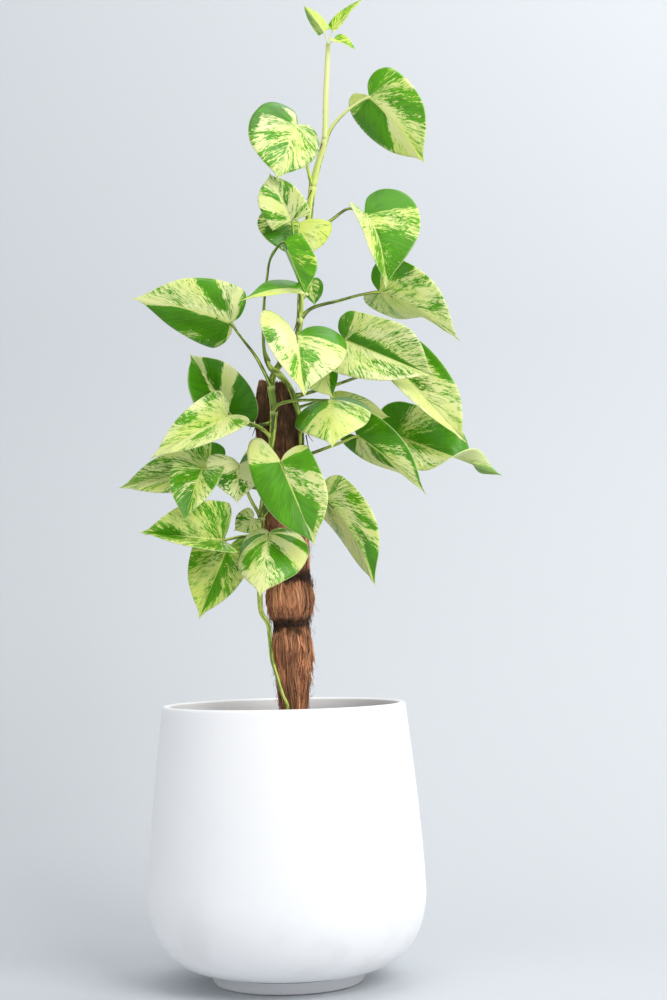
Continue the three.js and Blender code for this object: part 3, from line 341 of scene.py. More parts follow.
class PothosSizes(bpy.types.PropertyGroup):
    """Sizes of the finished surfaces."""

    blade_rows: bpy.props.IntProperty(
        name="Blade rows", description="Faces from a blade's tip to its joint", default=56, min=12, max=120)
    blade_columns: bpy.props.IntProperty(
        name="Blade columns", description="Faces from the midrib to the margin", default=14, min=4, max=40)
    quilting: bpy.props.FloatProperty(
        name="Quilting", description="How far the blade swells between its side veins, in millimetres",
        default=0.16, min=0, max=1)
    planter_segments: bpy.props.IntProperty(
        name="Planter segments", description="Faces round the planter", default=128, min=32, max=256)
    fibre_count: bpy.props.IntProperty(
        name="Coir fibres", description="Fibres lying on the pole", default=5200, min=0, max=9000)
    loose_fibre_count: bpy.props.IntProperty(
        name="Loose fibres", description="Fibres that stand off the pole", default=800, min=0, max=3000)
    strand_count: bpy.props.IntProperty(
        name="Coir strands", description="Thick matted strands on the pole", default=520, min=0, max=1500)
    fibre_radius: bpy.props.FloatProperty(
        name="Fibre radius", description="Radius of one fibre", default=0.00022, min=0.00005, unit="LENGTH")
    chip_count: bpy.props.IntProperty(
        name="Bark chips", description="Chips of bark on the potting mix", default=2300, min=0, max=5000)
    perlite_count: bpy.props.IntProperty(
        name="Perlite grains", description="Pale grains on the potting mix", default=260, min=0, max=2000)


class PothosColours(bpy.types.PropertyGroup):
    """Colours of the finished surfaces."""

    cream: bpy.props.FloatVectorProperty(
        name="Cream", description="The palest parts of a leaf", subtype="COLOR", default=srgb(232, 235, 175))
    yellow_green: bpy.props.FloatVectorProperty(
        name="Yellow-green", description="The warm pale parts of a leaf", subtype="COLOR",
        default=srgb(214, 228, 104))
    bright_green: bpy.props.FloatVectorProperty(
        name="Bright green", description="A young leaf's green", subtype="COLOR", default=srgb(97, 178, 4))
    dark_green: bpy.props.FloatVectorProperty(
        name="Dark green", description="An old leaf's green", subtype="COLOR", default=srgb(64, 135, 10))
    stem: bpy.props.FloatVectorProperty(
        name="Stem", description="The green of vines and stalks", subtype="COLOR", default=srgb(122, 152, 44))
    glaze: bpy.props.FloatVectorProperty(
        name="Glaze", description="The planter's matt white", subtype="COLOR", default=srgb(249, 249, 251))
    coir: bpy.props.FloatVectorProperty(
        name="Coir", description="The pole's brown fibre", subtype="COLOR", default=srgb(240, 164, 119))
    # The dark of some coir fibres, and also the colour of the painted shade on the pole's gaps, ties and top.
    coir_dark_and_shade: bpy.props.FloatVectorProperty(
        name="Coir shade", description="The dark of damp fibre", subtype="COLOR", default=srgb(54, 36, 24))
    soil: bpy.props.FloatVectorProperty(
        name="Potting mix", description="Damp peat", subtype="COLOR", default=srgb(52, 38, 30))


# Points and frames

def smoothstep(value, low, high):
    """0 below low, 1 above high, and smooth between."""
    share = min(1.0, max(0.0, (value - low) / (high - low)))
    return share * share * (3 - 2 * share)


def hump(distance, width):
    """A smooth rise to 1 at no distance, which falls away over a width."""
    return math.exp(-((distance / width) ** 2))


def table_at(table, height, column):
    """A column of a table at a height, with a smooth step between its rows."""
    if height <= table[0][0]:
        return table[0][column]
    for below, above in zip(table, table[1:]):
        if height <= above[0]:
            step = smoothstep(height, below[0], above[0])
            return below[column] + (above[column] - below[column]) * step
    return table[-1][column]


def cubic(b, c, start, end, t):
    """The smooth curve from b to c with a slope at each end, for numbers and for vectors."""
    steep = (b * 2 - c * 2 + start + end) * t ** 3
    return steep + (c * 3 - b * 3 - start * 2 - end) * t * t + start * t + b


def spline_point(points, share):
    """A point of the smooth curve through flat points, evenly spaced in its parameter."""
    last = len(points) - 1
    place = last * share
    index = min(int(place), last)
    picked = [points[min(max(index + step, 0), last)] for step in (-1, 0, 1, 2)]
    return [cubic(b, c, (c - a) / 2, (d - b) / 2, place - index) for a, b, c, d in zip(*picked)]


def path_point(points, share):
    """A point of the centripetal curve through points in space."""
    last = len(points) - 1
    place = last * share
    index = min(int(place), last - 1)
    b, c = points[index], points[index + 1]
    a = points[index - 1] if index > 0 else b * 2 - c
    d = points[index + 2] if index + 2 <= last else c * 2 - b
    before, here, after = [max((q - p).length ** 0.5, LEAST_GAP) for p, q in ((a, b), (b, c), (c, d))]
    start = (b - a) / before - (c - a) / (before + here) + (c - b) / here
    end = (c - b) / here - (d - b) / (here + after) + (d - c) / after
    return cubic(b, c, start * here, end * here, place - index)


def lengths_along(path):
    """How far along a path each of its points is."""
    lengths = [0.0]
    for p, q in zip(path, path[1:]):
        lengths.append(lengths[-1] + (q - p).length)
    return lengths


def even_path(points, step):
    """Points a step apart along the curve through points."""
    dense = [path_point(points, i / PATH_SAMPLES) for i in range(PATH_SAMPLES + 1)]
    lengths = lengths_along(dense)
    count = max(4, round(lengths[-1] / step))
    path = []
    at = 0
    for i in range(count + 1):
        wanted = lengths[-1] * i / count
        while at < PATH_SAMPLES - 1 and lengths[at + 1] < wanted:
            at += 1
        share = (wanted - lengths[at]) / max(lengths[at + 1] - lengths[at], 1e-9)
        path.append(dense[at].lerp(dense[at + 1], share))
    return path


def frame_of(direction, facing):
    """A right-handed frame with +Y along a direction and +Z as near to a facing as it can be."""
    along = direction.normalized()
    normal = (facing - along * facing.dot(along)).normalized()
    side = along.cross(normal)
    return Matrix((side, along, normal)).transposed()


# Meshes

def new_object(name, points, faces, *materials):
    """A smooth mesh object from points in millimetres."""
    mesh = bpy.data.meshes.new(name)
    mesh.from_pydata([tuple(point * MM) for point in points], [], faces)
    mesh.polygons.foreach_set("use_smooth", [True] * len(mesh.polygons))
    for material in materials:
        mesh.materials.append(material)
    return placed(name, mesh)


def placed(name, data):
    """An object in the scene for a mesh, a light or a camera."""
    thing = bpy.data.objects.new(name, data)
    bpy.context.scene.collection.objects.link(thing)
    return thing


def store(mesh, name, values):
    """Keeps a number or a vector for each face corner under a name that the materials read."""
    values = np.asarray(values, dtype=np.float32)
    kind, field = ("FLOAT", "value") if values.ndim == 1 else ("FLOAT_VECTOR", "vector")
    mesh.attributes.new(name, kind, "CORNER").data.foreach_set(field, values.ravel())


def add_mesh(points, faces, more_points, more_faces):
    """Adds a mesh's points and faces to those of another."""
    faces += [tuple(len(points) + i for i in face) for face in more_faces]
    points += more_points


def ring_faces(rings, sides):
    """The faces between rings of points that follow one another."""
    faces = []
    for i in range(rings - 1):
        for j in range(sides):
            a, b = i * sides + j, i * sides + (j + 1) % sides
            faces.append((a, b, b + sides, a + sides))
    return faces


def tube_points(path, radius_at, sides):
    """Rings of points round a path, turned as little as they can be from one to the next."""
    points = []
    along = (path[1] - path[0]).normalized()
    out = along.orthogonal().normalized()
    last = len(path) - 1
    angles = [2 * math.pi * j / sides for j in range(sides)]
    for i, centre in enumerate(path):
        along = (path[min(i + 1, last)] - path[max(i - 1, 0)]).normalized()
        out = (out - along * out.dot(along)).normalized()
        across = along.cross(out)
        radius = radius_at(i / last, centre)
        points += [centre + (out * math.cos(a) + across * math.sin(a)) * radius for a in angles]
    return points


def tube_mesh(path, radius_at, sides, seed):
    """A closed tube as points, faces and, for each face corner, its place across and along in millimetres."""
    faces, flow = ring_faces(len(path), sides), []
    length = lengths_along(path)
    for low, high in zip(length, length[1:]):
        for j in range(sides):
            left, right = GIRTH_FLOW * j / sides, GIRTH_FLOW * (j + 1) / sides
            flow += [(left, low, seed), (right, low, seed), (right, high, seed), (left, high, seed)]
    last = (len(path) - 1) * sides
    faces += [tuple(reversed(range(sides))), tuple(range(last, last + sides))]
    flow += [(0, 0, seed)] * sides + [(0, length[-1], seed)] * sides
    return tube_points(path, radius_at, sides), faces, flow


def finish_piece(piece, slot, *nodes):
    """Says what a finished piece rides on and what it stands for; its slot is not used."""
    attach(piece, "root")
    if nodes:
        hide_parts(*nodes)


def skin_bed(points, faces):
    """A passing object for things to grow on, and its area."""
    bed = new_object("growth_bed", points, faces)
    return bed, sum(face.area for face in bed.data.polygons)


def grown(bed, tree, name, values):
    """The result of a geometry node tree on a bed as a plain mesh object of its own."""
    modifier = bed.modifiers.new("growth", "NODES")
    modifier.node_group = tree
    for item in tree.interface.items_tree:
        if item.in_out == "INPUT" and item.name in values:
            modifier[item.identifier] = values[item.name]
    graph = bpy.context.evaluated_depsgraph_get()
    mesh = bpy.data.meshes.new_from_object(bed.evaluated_get(graph))
    bed.modifiers.remove(modifier)
    mesh.name = name
    if values["Finish"].name not in mesh.materials:
        mesh.materials.append(values["Finish"])
    return placed(name, mesh)


# Node trees

VALUE, COLOUR, VECTOR = "NodeSocketFloat", "NodeSocketColor", "NodeSocketVector"
MIDDLE = (0.5, 0.5, 0.5)  # a noise's middle as a vector


class NodeMaker:
    """Adds nodes to a tree and links them, with short calls for the common ones."""

    def __init__(self, tree):
        self.tree = tree

    def node(self, kind, inputs=(), **settings):
        made = self.tree.nodes.new(kind)
        for name, value in settings.items():
            setattr(made, name, value)
        self.fill(made.inputs, dict(inputs))
        return made

    def fill(self, sockets, values):
        for key, value in values.items():
            if isinstance(value, bpy.types.NodeSocket):
                self.tree.links.new(value, sockets[key])
            elif sockets[key].type == "RGBA":
                sockets[key].default_value = (*tuple(value)[:3], 1.0)
            else:
                sockets[key].default_value = value

    def math(self, operation, first, second=0.0, third=0.0):
        inputs = {0: first, 1: second, 2: third}
        return self.node("ShaderNodeMath", inputs, operation=operation).outputs[0]

    def swing(self, noise, gain, base):
        """A noise about its middle, times a gain, added to a base."""
        return self.math("MULTIPLY_ADD", self.math("SUBTRACT", noise, 0.5), gain, base)

    def vector(self, operation, first, second):
        return self.node("ShaderNodeVectorMath", {0: first, 1: second}, operation=operation).outputs[0]

    def scaled(self, vector, scale):
        return self.node("ShaderNodeVectorMath", {0: vector, 3: scale}, operation="SCALE").outputs[0]

    def parts(self, vector):
        return self.node("ShaderNodeSeparateXYZ", {0: vector}).outputs

    def ramp(self, value, low, high, start=0.0, end=1.0):
        """A smooth step of a value, from start at low to end at high."""
        inputs = {"Value": value, "From Min": low, "From Max": high, "To Min": start, "To Max": end}
        return self.node("ShaderNodeMapRange", inputs, interpolation_type="SMOOTHSTEP").outputs["Result"]

    def noise(self, vector, scale, detail=2.0, roughness=0.5, output="Fac"):
        inputs = {"Vector": vector, "Scale": scale, "Detail": detail, "Roughness": roughness}
        return self.node("ShaderNodeTexNoise", inputs).outputs[output]

    def drawn(self, flow, stretch, shift=(0, 0, 0), detail=2.0, roughness=0.5, output="Fac"):
        """A noise on the marbling's coordinates, stretched and shifted."""
        place = self.node("ShaderNodeMapping", {"Vector": flow, "Scale": stretch, "Location": shift})
        return self.noise(place.outputs[0], 1.0, detail, roughness, output)

    def mix(self, share, first, second):
        """A mix of two colours, which are sockets 6 and 7."""
        inputs = {"Factor": share, 6: first, 7: second}
        return self.node("ShaderNodeMix", inputs, data_type="RGBA").outputs[2]

    def layers(self, colour, *over):
        """A colour with others laid over it, each as (share, colour)."""
        for share, top in over:
            colour = self.mix(share, colour, top)
        return colour

    def attribute(self, name, output="Vector"):
        return self.node("ShaderNodeAttribute", attribute_name=name).outputs[output]

    def place(self):
        return self.node("ShaderNodeTexCoord").outputs["Object"]

    def finish(self, shader, colour, roughness, height, strength, distance, more=()):
        """Gives a shader its colour and roughness, and a relief of a strength and a distance."""
        relief = self.node("ShaderNodeBump", {"Height": height, "Strength": strength, "Distance": distance})
        self.fill(shader.inputs, {"Base Color": colour, "Roughness": roughness,
                                  "Normal": relief.outputs["Normal"], **dict(more)})

    def grain(self, soft_scale, fine_scale):
        return self.group(FINE_GRAIN, {"Soft scale": soft_scale, "Fine scale": fine_scale})

    def group(self, recipe, values):
        """A shader group with values or links for its inputs."""
        return self.node("ShaderNodeGroup", values, node_tree=shader_group(*recipe)).outputs

    def random(self, low, high, seed, kind="FLOAT_VECTOR"):
        """A random value for each point. A vector's limits are sockets 0 and 1, a number's are 2 and 3."""
        first = 0 if kind == "FLOAT_VECTOR" else 2
        inputs = {first: low, first + 1: high, "Seed": seed}
        return self.node("FunctionNodeRandomValue", inputs, data_type=kind).outputs[first // 2]


def new_tree(kind, name, inputs, outputs):
    """An empty node tree with its maker, its inputs and its end."""
    tree = bpy.data.node_groups.new(name, kind)
    for way, sockets in (("INPUT", inputs), ("OUTPUT", outputs)):
        for label, socket_type in sockets.items():
            tree.interface.new_socket(label, in_out=way, socket_type=socket_type)
    make = NodeMaker(tree)
    return tree, make, make.node("NodeGroupInput").outputs, make.node("NodeGroupOutput").inputs


def shader_group(name, inputs, outputs, draw):
    """A shader group, made once. Its draw function turns its inputs into what its outputs give."""
    if name not in bpy.data.node_groups:
        _, make, given, end = new_tree("ShaderNodeTree", name, inputs, outputs)
        make.fill(end, draw(make, given))
    return bpy.data.node_groups[name]


# Shader groups and materials

def marbling(make, given):
    """Streaks and patches of green over cream, drawn along the side veins."""
    wander = make.drawn(given["Flow"], (0.05, 0.05, 1), output="Color")
    shift = make.vector("MULTIPLY", make.vector("SUBTRACT", wander, MIDDLE), (7, 9, 0))
    flow = make.vector("ADD", given["Flow"], shift)
    sectors = make.drawn(flow, (0.07, 0.016, 7.3), detail=1.5)
    streaks = make.drawn(flow, (0.55, 0.052, 3.1), (3, 5, 11), 3.0, 0.6)
    flecks = make.drawn(flow, (1.5, 0.2, 5.7), (9, 2, 23), 2.0, 0.6)
    patches = make.drawn(flow, (0.2, 0.05, 4.3), (31, 7, 3))
    soft = make.drawn(flow, (0.03, 0.03, 2.1), (1, 4, 8), 1.0)
    marks = make.swing(sectors, 1.5, given["Green"])
    marks = make.swing(flecks, 1.7, make.swing(streaks, 2.0, marks))
    tint = make.ramp(make.swing(patches, 1.4, marks), -0.3, -0.12)
    green = make.ramp(marks, 0.03, 0.075)
    deep = make.ramp(make.swing(patches, 2.2, marks), 0.22, 0.34)

    warm = make.ramp(make.swing(soft, 1.2, given["Warmth"]), 0, 1)
    pale = make.mix(warm, given["Cream"], given["Yellow-green"])
    living = make.mix(given["Tone"], given["Bright green"], given["Dark green"])
    lit = make.ramp(make.swing(soft, 0.9, streaks), 0.3, 0.62)
    living = make.mix(lit, make.mix(0.72, (0, 0, 0), living), living)
    colour = make.layers(
        pale, (tint, make.mix(0.3, pale, living)), (green, make.mix(0.04, living, given["Yellow-green"])),
        (deep, make.mix(0.8, (0.004, 0.02, 0.004), living)))
    return {"Color": colour, "Green mask": green, "Relief": make.drawn(flow, (0.9, 0.3, 1), detail=3.0)}


MARBLING = (
    "Marbling",
    {"Flow": VECTOR, "Green": VALUE, "Tone": VALUE, "Warmth": VALUE, "Cream": COLOUR, "Yellow-green": COLOUR,
     "Bright green": COLOUR, "Dark green": COLOUR},
    {"Color": COLOUR, "Green mask": VALUE, "Relief": VALUE}, marbling)


def stem_stripes(make, given):
    """Long pale stripes and darker blotches on a vine or stalk."""
    stripes = make.drawn(given["Flow"], (0.2, 0.014, 2.3), (3, 1, 7))
    blotches = make.drawn(given["Flow"], (0.1, 0.045, 3.3), (8, 2, 1))
    flecks = make.drawn(given["Flow"], (0.7, 0.1, 1.3), (5, 9, 4))
    dark = make.ramp(make.swing(flecks, 0.4, blotches), 0.45, 0.54)
    pale = make.ramp(make.math("ADD", make.swing(flecks, 0.5, stripes), given["Pale share"]), 0.5, 0.55)
    return {"Color": make.layers(given["Green"], (dark, given["Dark"]), (pale, given["Pale"]))}


STEM_STRIPES = (
    "Stem stripes", {"Flow": VECTOR, "Pale share": VALUE, "Pale": COLOUR, "Green": COLOUR, "Dark": COLOUR},
    {"Color": COLOUR}, stem_stripes)


def fine_grain(make, given):
    """A soft noise on Object coordinates, and a height with a fine one added."""
    place = make.place()
    soft = make.noise(place, given["Soft scale"], 3.0)
    height = make.math("MULTIPLY_ADD", make.noise(place, given["Fine scale"]), 0.35, soft)
    return {"Soft": soft, "Height": height}


FINE_GRAIN = (
    "Fine grain", {"Soft scale": VALUE, "Fine scale": VALUE}, {"Soft": VALUE, "Height": VALUE}, fine_grain)


def upright_strands(make, _):
    """Strands that run up and down: a tone for each strand, a mask of gaps and a height."""
    place = make.place()
    shift = make.vector("MULTIPLY", make.noise(place, 26.0, output="Color"), (0.012, 0.012, 0))
    drawn_out = make.vector("MULTIPLY", make.vector("ADD", place, shift), (1, 1, 0.07))
    strands = make.noise(drawn_out, 420.0, 4.0, 0.65)
    wide = make.noise(drawn_out, 70.0)
    height = make.math("MULTIPLY_ADD", strands, 0.6, wide)
    return {"Tone": make.ramp(strands, 0.35, 0.65), "Gaps": make.ramp(wide, 0.4, 0.56), "Height": height}


STRANDS = ("Strands", {}, {"Tone": VALUE, "Gaps": VALUE, "Height": VALUE}, upright_strands)


def new_material(name):
    """A material with its maker and its shader."""
    material = bpy.data.materials.new(name)
    material.use_nodes = True
    material.node_tree.nodes.clear()
    make = NodeMaker(material.node_tree)
    shader = make.node("ShaderNodeBsdfPrincipled")
    make.node("ShaderNodeOutputMaterial", {"Surface": shader.outputs["BSDF"]})
    return material, make, shader


def darker(colour, share):
    return tuple(share * value for value in colour)


def leaf_material(colours):
    """The marbled blade: pale midrib, fine side veins, pale margin and a duller underside."""
    material, make, shader = new_material("marbled_leaf")
    flow = make.attribute("flow")
    marks, blade = make.parts(make.attribute("marks")), make.parts(make.attribute("blade"))
    marbled = make.group(MARBLING, {
        "Flow": flow, "Green": marks["X"], "Tone": marks["Y"], "Warmth": marks["Z"], "Cream": colours.cream,
        "Yellow-green": colours.yellow_green, "Bright green": colours.bright_green,
        "Dark green": colours.dark_green})
    rib, out, under = blade["X"], blade["Y"], blade["Z"]
    across = make.parts(flow)["X"]
    veins, fine = [make.math("COSINE", make.math("MULTIPLY", across, 2 * math.pi / spacing))
                   for spacing in (SIDE_VEIN_SPACING, FINE_VEIN_SPACING)]
    vein_line = make.math("MULTIPLY", make.ramp(veins, 0.965, 1.0), make.ramp(out, 0.98, 0.5))
    pale_only = make.math("MULTIPLY_ADD", marbled["Green mask"], -0.08, 0.1)
    colour = make.layers(
        marbled["Color"],
        (make.math("MULTIPLY", make.ramp(fine, 0.7, 1.0), pale_only), colours.yellow_green),
        (make.math("MULTIPLY", vein_line, 0.06), colours.yellow_green),
        (make.ramp(rib, 0.028, 0.012, 0.0, 0.75), make.mix(0.35, colours.yellow_green, colours.cream)),
        (make.ramp(out, 0.978, 0.995, 0.0, 0.45), colours.cream))
    colour = make.mix(make.math("MULTIPLY", under, 0.85), colour, make.mix(0.45, colour, srgb(176, 196, 128)))
    gloss = make.math("MULTIPLY_ADD", under, 0.25, 0.34)
    height = make.math("MULTIPLY_ADD", vein_line, -0.3, marbled["Relief"])
    height = make.math("MULTIPLY_ADD", make.ramp(rib, 0.05, 0.0), -0.8, height)
    gloss = make.math("MULTIPLY_ADD", marbled["Green mask"], -0.05, gloss)
    make.finish(shader, colour, gloss, height, 0.35, 0.0006, {
        "Subsurface Weight": 0.12, "Subsurface Radius": (0.4, 0.9, 0.15), "Subsurface Scale": 0.003,
        "Coat Weight": 0.05, "Coat Roughness": 0.3, "Specular IOR Level": 0.28})
    return material


def stem_material(colours, name, pale_share, pale_from, pale_to):
    """A vine or stalk: olive green with cream stripes, paler between two heights, and scars at the nodes."""
    material, make, shader = new_material(name)
    paler = make.ramp(make.parts(make.place())["Z"], pale_from, pale_to)
    pale = make.mix(0.12, colours.yellow_green, colours.stem)
    stripes = make.group(STEM_STRIPES, {
        "Flow": make.attribute("flow"), "Pale share": make.math("MULTIPLY_ADD", paler, 0.3, pale_share),
        "Pale": make.mix(make.math("MULTIPLY", paler, 0.6), pale, colours.cream), "Green": colours.stem,
        "Dark": darker(colours.stem, 0.36)})
    scars = make.attribute("scar", "Fac")
    colour = make.layers(
        stripes["Color"],
        (make.math("MULTIPLY", scars, -0.7), make.mix(0.5, colours.cream, colours.yellow_green)),
        (make.math("MULTIPLY", scars, 0.7), srgb(112, 84, 48)))
    make.finish(shader, colour, 0.36, make.grain(120.0, 900.0)["Height"], 0.3, 0.0005, {"Coat Weight": 0.1})
    return material


def glaze_material(colours):
    """The planter's matt glaze, greyer in soft patches towards the foot."""
    material, make, shader = new_material("matt_white_glaze")
    grain = make.grain(14.0, 420.0)
    place = make.place()
    low = make.ramp(make.parts(place)["Z"], 0.16, 0.02, 0.05, 0.27)
    grey_near_foot = make.math("MULTIPLY", make.ramp(grain["Soft"], 0.5, 0.72), low)
    specks = make.ramp(make.noise(place, 260.0, 1.0), 0.74, 0.78, 0.0, 0.12)
    colour = make.layers(colours.glaze, (grey_near_foot, srgb(214, 213, 211)), (specks, srgb(176, 172, 166)))
    matt = make.math("MULTIPLY_ADD", grain["Soft"], 0.18, 0.44)
    make.finish(shader, colour, matt, grain["Height"], 0.12, 0.0008)
    return material


def coir_material(colours, name, low_painted_shade):
    """Coir in strands, with painted shade in a band at each tie, towards the top under the leaves, and in the
    gaps between strands.
    """
    material, make, shader = new_material(name)
    strands = make.group(STRANDS, {})
    soft = make.grain(55.0, 600.0)["Soft"]
    height = make.parts(make.place())["Z"]
    # Painted shade: a low level below, more towards the top under the leaves, and a band at each tie where
    # the coir is drawn in.
    shade = make.ramp(height, 0.5, 0.64, low_painted_shade, 0.78)
    ragged = make.swing(soft, 0.03, height)
    for tie in TIE_HEIGHTS:
        away = make.math("ABSOLUTE", make.math("SUBTRACT", ragged, tie * MM))
        shade = make.math("MAXIMUM", shade, make.ramp(away, 0.013, 0.003, 0.0, 0.9))
    tone = make.attribute("fibre_tone", "Fac")
    colour = make.layers(
        make.mix(0.5, colours.coir, colours.coir_dark_and_shade), (strands["Tone"], colours.coir),
        (make.ramp(tone, 0.5, 1.0, 0.0, 0.85), srgb(246, 188, 138)),
        (make.ramp(tone, 0.35, 0.0, 0.0, 0.8), colours.coir_dark_and_shade),
        # Painted shade from that mask, broken up by soft patches of darker coir.
        (make.ramp(make.swing(soft, 0.9, shade), 0.0, 1.0, 0.0, 0.92), colours.coir_dark_and_shade),
        # Painted shade in the gaps between strands.
        (make.ramp(strands["Gaps"], 0.6, 0.0, 0.0, 0.4), colours.coir_dark_and_shade))
    make.finish(shader, colour, 0.92, strands["Height"], 0.8, 0.002)
    return material


def soil_material(colours, name, light):
    """Damp peat, or chips of bark in a lighter brown."""
    material, make, shader = new_material(name)
    grain = make.grain(160.0, 900.0)
    chips = make.mix(make.attribute("chip_tone", "Fac"), colours.soil, srgb(118, 82, 54))
    colour = make.layers(
        colours.soil, (light, chips), (make.ramp(grain["Soft"], 0.35, 0.65, 0.6, 0.0), (0.004, 0.003, 0.002)))
    make.finish(shader, colour, 0.9, grain["Height"], 0.9, 0.0015)
    return material


def plain_material(name, colour, roughness, soft_scale, depth):
    """One colour with a soft change of tone and a grain."""
    material, make, shader = new_material(name)
    grain = make.grain(soft_scale, soft_scale * 8)
    varied = make.mix(make.ramp(grain["Soft"], 0.3, 0.7), darker(colour, 0.78), colour)
    make.finish(shader, varied, roughness, grain["Height"], 0.4, depth)
    return material


# Leaves

def midrib(leaf, share, length):
    """Where the bent midrib runs at a share of its length, and how far the blade leans there."""
    droop = leaf["droop"] * DEGREE
    lean = droop * share
    forward = length * math.sin(lean) / droop
    down = -length * (1 - math.cos(lean)) / droop
    sideways = leaf["sway"] * length * share * share
    return sideways, forward, down, lean


def vein_origin(margin_share):
    """Where on the midrib the vein to a place on the margin starts."""
    return max(0.0, 1 - margin_share / VEIN_ORIGIN_END)


def blade_point(leaf, length, margin_share, margin, out, side, quilting):
    """A point of the blade in its own frame: +Y along the midrib, +Z out of the face, side 1 towards +X."""
    origin = vein_origin(margin_share)
    bow = -VEIN_BOW * margin[0] * math.cos(math.pi * margin_share)
    middle = (margin[0] / 2, (origin + margin[1]) / 2 + bow)
    flat_x = 2 * out * (1 - out) * middle[0] + out * out * margin[0]
    heart_y = (1 - out) ** 2 * origin + 2 * out * (1 - out) * middle[1] + out * out * margin[1]
    half = 0 if side > 0 else 1
    lobe = leaf["lobe"][half]
    flat_y = heart_y * lobe if heart_y < 0 else heart_y

    curl = max(1, leaf["curl"][half]) * DEGREE
    share = flat_x / MARGIN_HALF_WIDTH
    ahead = max(0.0, flat_y)
    slimmed = max(SLIMMEST, 1 - leaf["slim"][half] * ahead * ahead)
    half_width = leaf["width"] / 2 * (leaf["broad"][half] * slimmed)
    margin_reach = half_width * margin[0] / MARGIN_HALF_WIDTH
    lift = leaf["lift"][half] * DEGREE * min(1, margin_reach / FOLD_REACH)
    across = half_width * (math.sin(lift) - math.sin(lift - curl * share)) / curl
    ripple = WAVE * share * share * math.sin(2 * math.pi * WAVES_PER_SIDE * margin_share + side)
    ripple += quilting * math.cos(2 * math.pi * QUILTS * margin_share) * 4 * out * (1 - out)
    rise = half_width * (math.cos(lift - curl * share) - math.cos(lift)) / curl + ripple

    sideways, forward, down, lean = midrib(leaf, flat_y, length)
    turn = leaf["twist"] * DEGREE * smoothstep(flat_y, leaf["twistFrom"], 1)
    x = side * across * math.cos(turn) - rise * math.sin(turn)
    z = side * across * math.sin(turn) + rise * math.cos(turn)
    return Vector((sideways + x, forward + z * math.sin(lean), down + z * math.cos(lean)))


def blade_placing(leaf):
    """The blade's turn and length, so that its tip comes to its place."""
    joint = Vector(leaf["joint"])
    reach = Vector(leaf["tip"]) - joint
    sideways, forward, down, _ = midrib(leaf, 1, 1)
    chord = Vector((sideways, forward, down))
    turn = frame_of(reach, Vector(leaf["facing"])) @ frame_of(chord, Vector((0, 0, 1))).transposed()
    return joint, reach.length / chord.length, turn


def zone_share(value, low, high, softness):
    """How far a value is inside a stretch with soft ends; ends at 0 and 1 are open."""
    start = 1.0 if low <= 0 else smoothstep(value, low - softness, low + softness)
    stop = 1.0 if high >= 1 else 1 - smoothstep(value, high - softness, high + softness)
    return start * stop


def green_at(marks, half, margin_share, out):
    """How green a place on the blade is, from its half and the zones there."""
    green = marks["green"][half]
    for zone_half, low, high, inner, outer, amount in marks.get("zones", ()):
        if zone_half == half:
            along = zone_share(margin_share, low, high, ZONE_SOFTNESS)
            green += amount * along * zone_share(out, inner, outer, ZONE_SIDE_SOFTNESS)
    return green


def half_grid(leaf, marks, seed, sizes, side):
    """One half of a blade as rows of (point, values), where the values are the marbling's."""
    joint, length, turn = blade_placing(leaf)
    half = 0 if side > 0 else 1
    grow = length / FULL_LENGTH
    grid = []
    for row in range(sizes.blade_rows + 1):
        margin_share = row / sizes.blade_rows
        margin = spline_point(MARGIN, margin_share)
        reach = math.hypot(leaf["width"] * margin[0], length * (margin[1] - vein_origin(margin_share)))
        line = []
        for column in range(sizes.blade_columns + 1):
            out = column / sizes.blade_columns
            flat = blade_point(leaf, length, margin_share, margin, out, side, sizes.quilting * grow)
            flow = (MARGIN_FLOW * margin_share * grow, out * reach + HALF_SHIFT * half, seed)
            green = green_at(marks, half, margin_share, out)
            line.append((joint + turn @ flat, (flow, green, out * reach / length, out)))
        grid.append(line)
    return grid


def blade_surface(leaf, marks, seed, sizes):
    """The blade's middle surface: its points, and faces as (point's number, values) at each corner."""
    points, numbers, faces = [], {}, []

    def numbered(entry):
        key = tuple(round(value, 3) for value in entry[0])
        if key not in numbers:
            numbers[key] = len(points)
            points.append(entry[0])
        return numbers[key], entry[1]

    for side in (1, -1):
        grid = [[numbered(entry) for entry in line] for line in half_grid(leaf, marks, seed, sizes, side)]
        for upper, lower in zip(grid, grid[1:]):
            for column in range(sizes.blade_columns):
                loop = [upper[column], lower[column], lower[column + 1], upper[column + 1]]
                if side < 0:
                    loop.reverse()
                kept = []
                for corner in loop:
                    if not kept or corner[0] != kept[-1][0]:
                        kept.append(corner)
                if kept[0][0] == kept[-1][0]:
                    kept.pop()
                if len({corner[0] for corner in kept}) == len(kept) >= 3:
                    faces.append(kept)
    return points, faces


def surface_normals(points, faces):
    """The normal of each point of a surface."""
    normals = [Vector() for _ in points]
    for face in faces:
        a, *others = [points[corner[0]] for corner in face]
        normal = (others[0] - a).cross(others[1] - a)
        if len(others) == 3:
            normal += (others[1] - a).cross(others[2] - a)
        for corner in face:
            normals[corner[0]] += normal
    return [normal.normalized() for normal in normals]


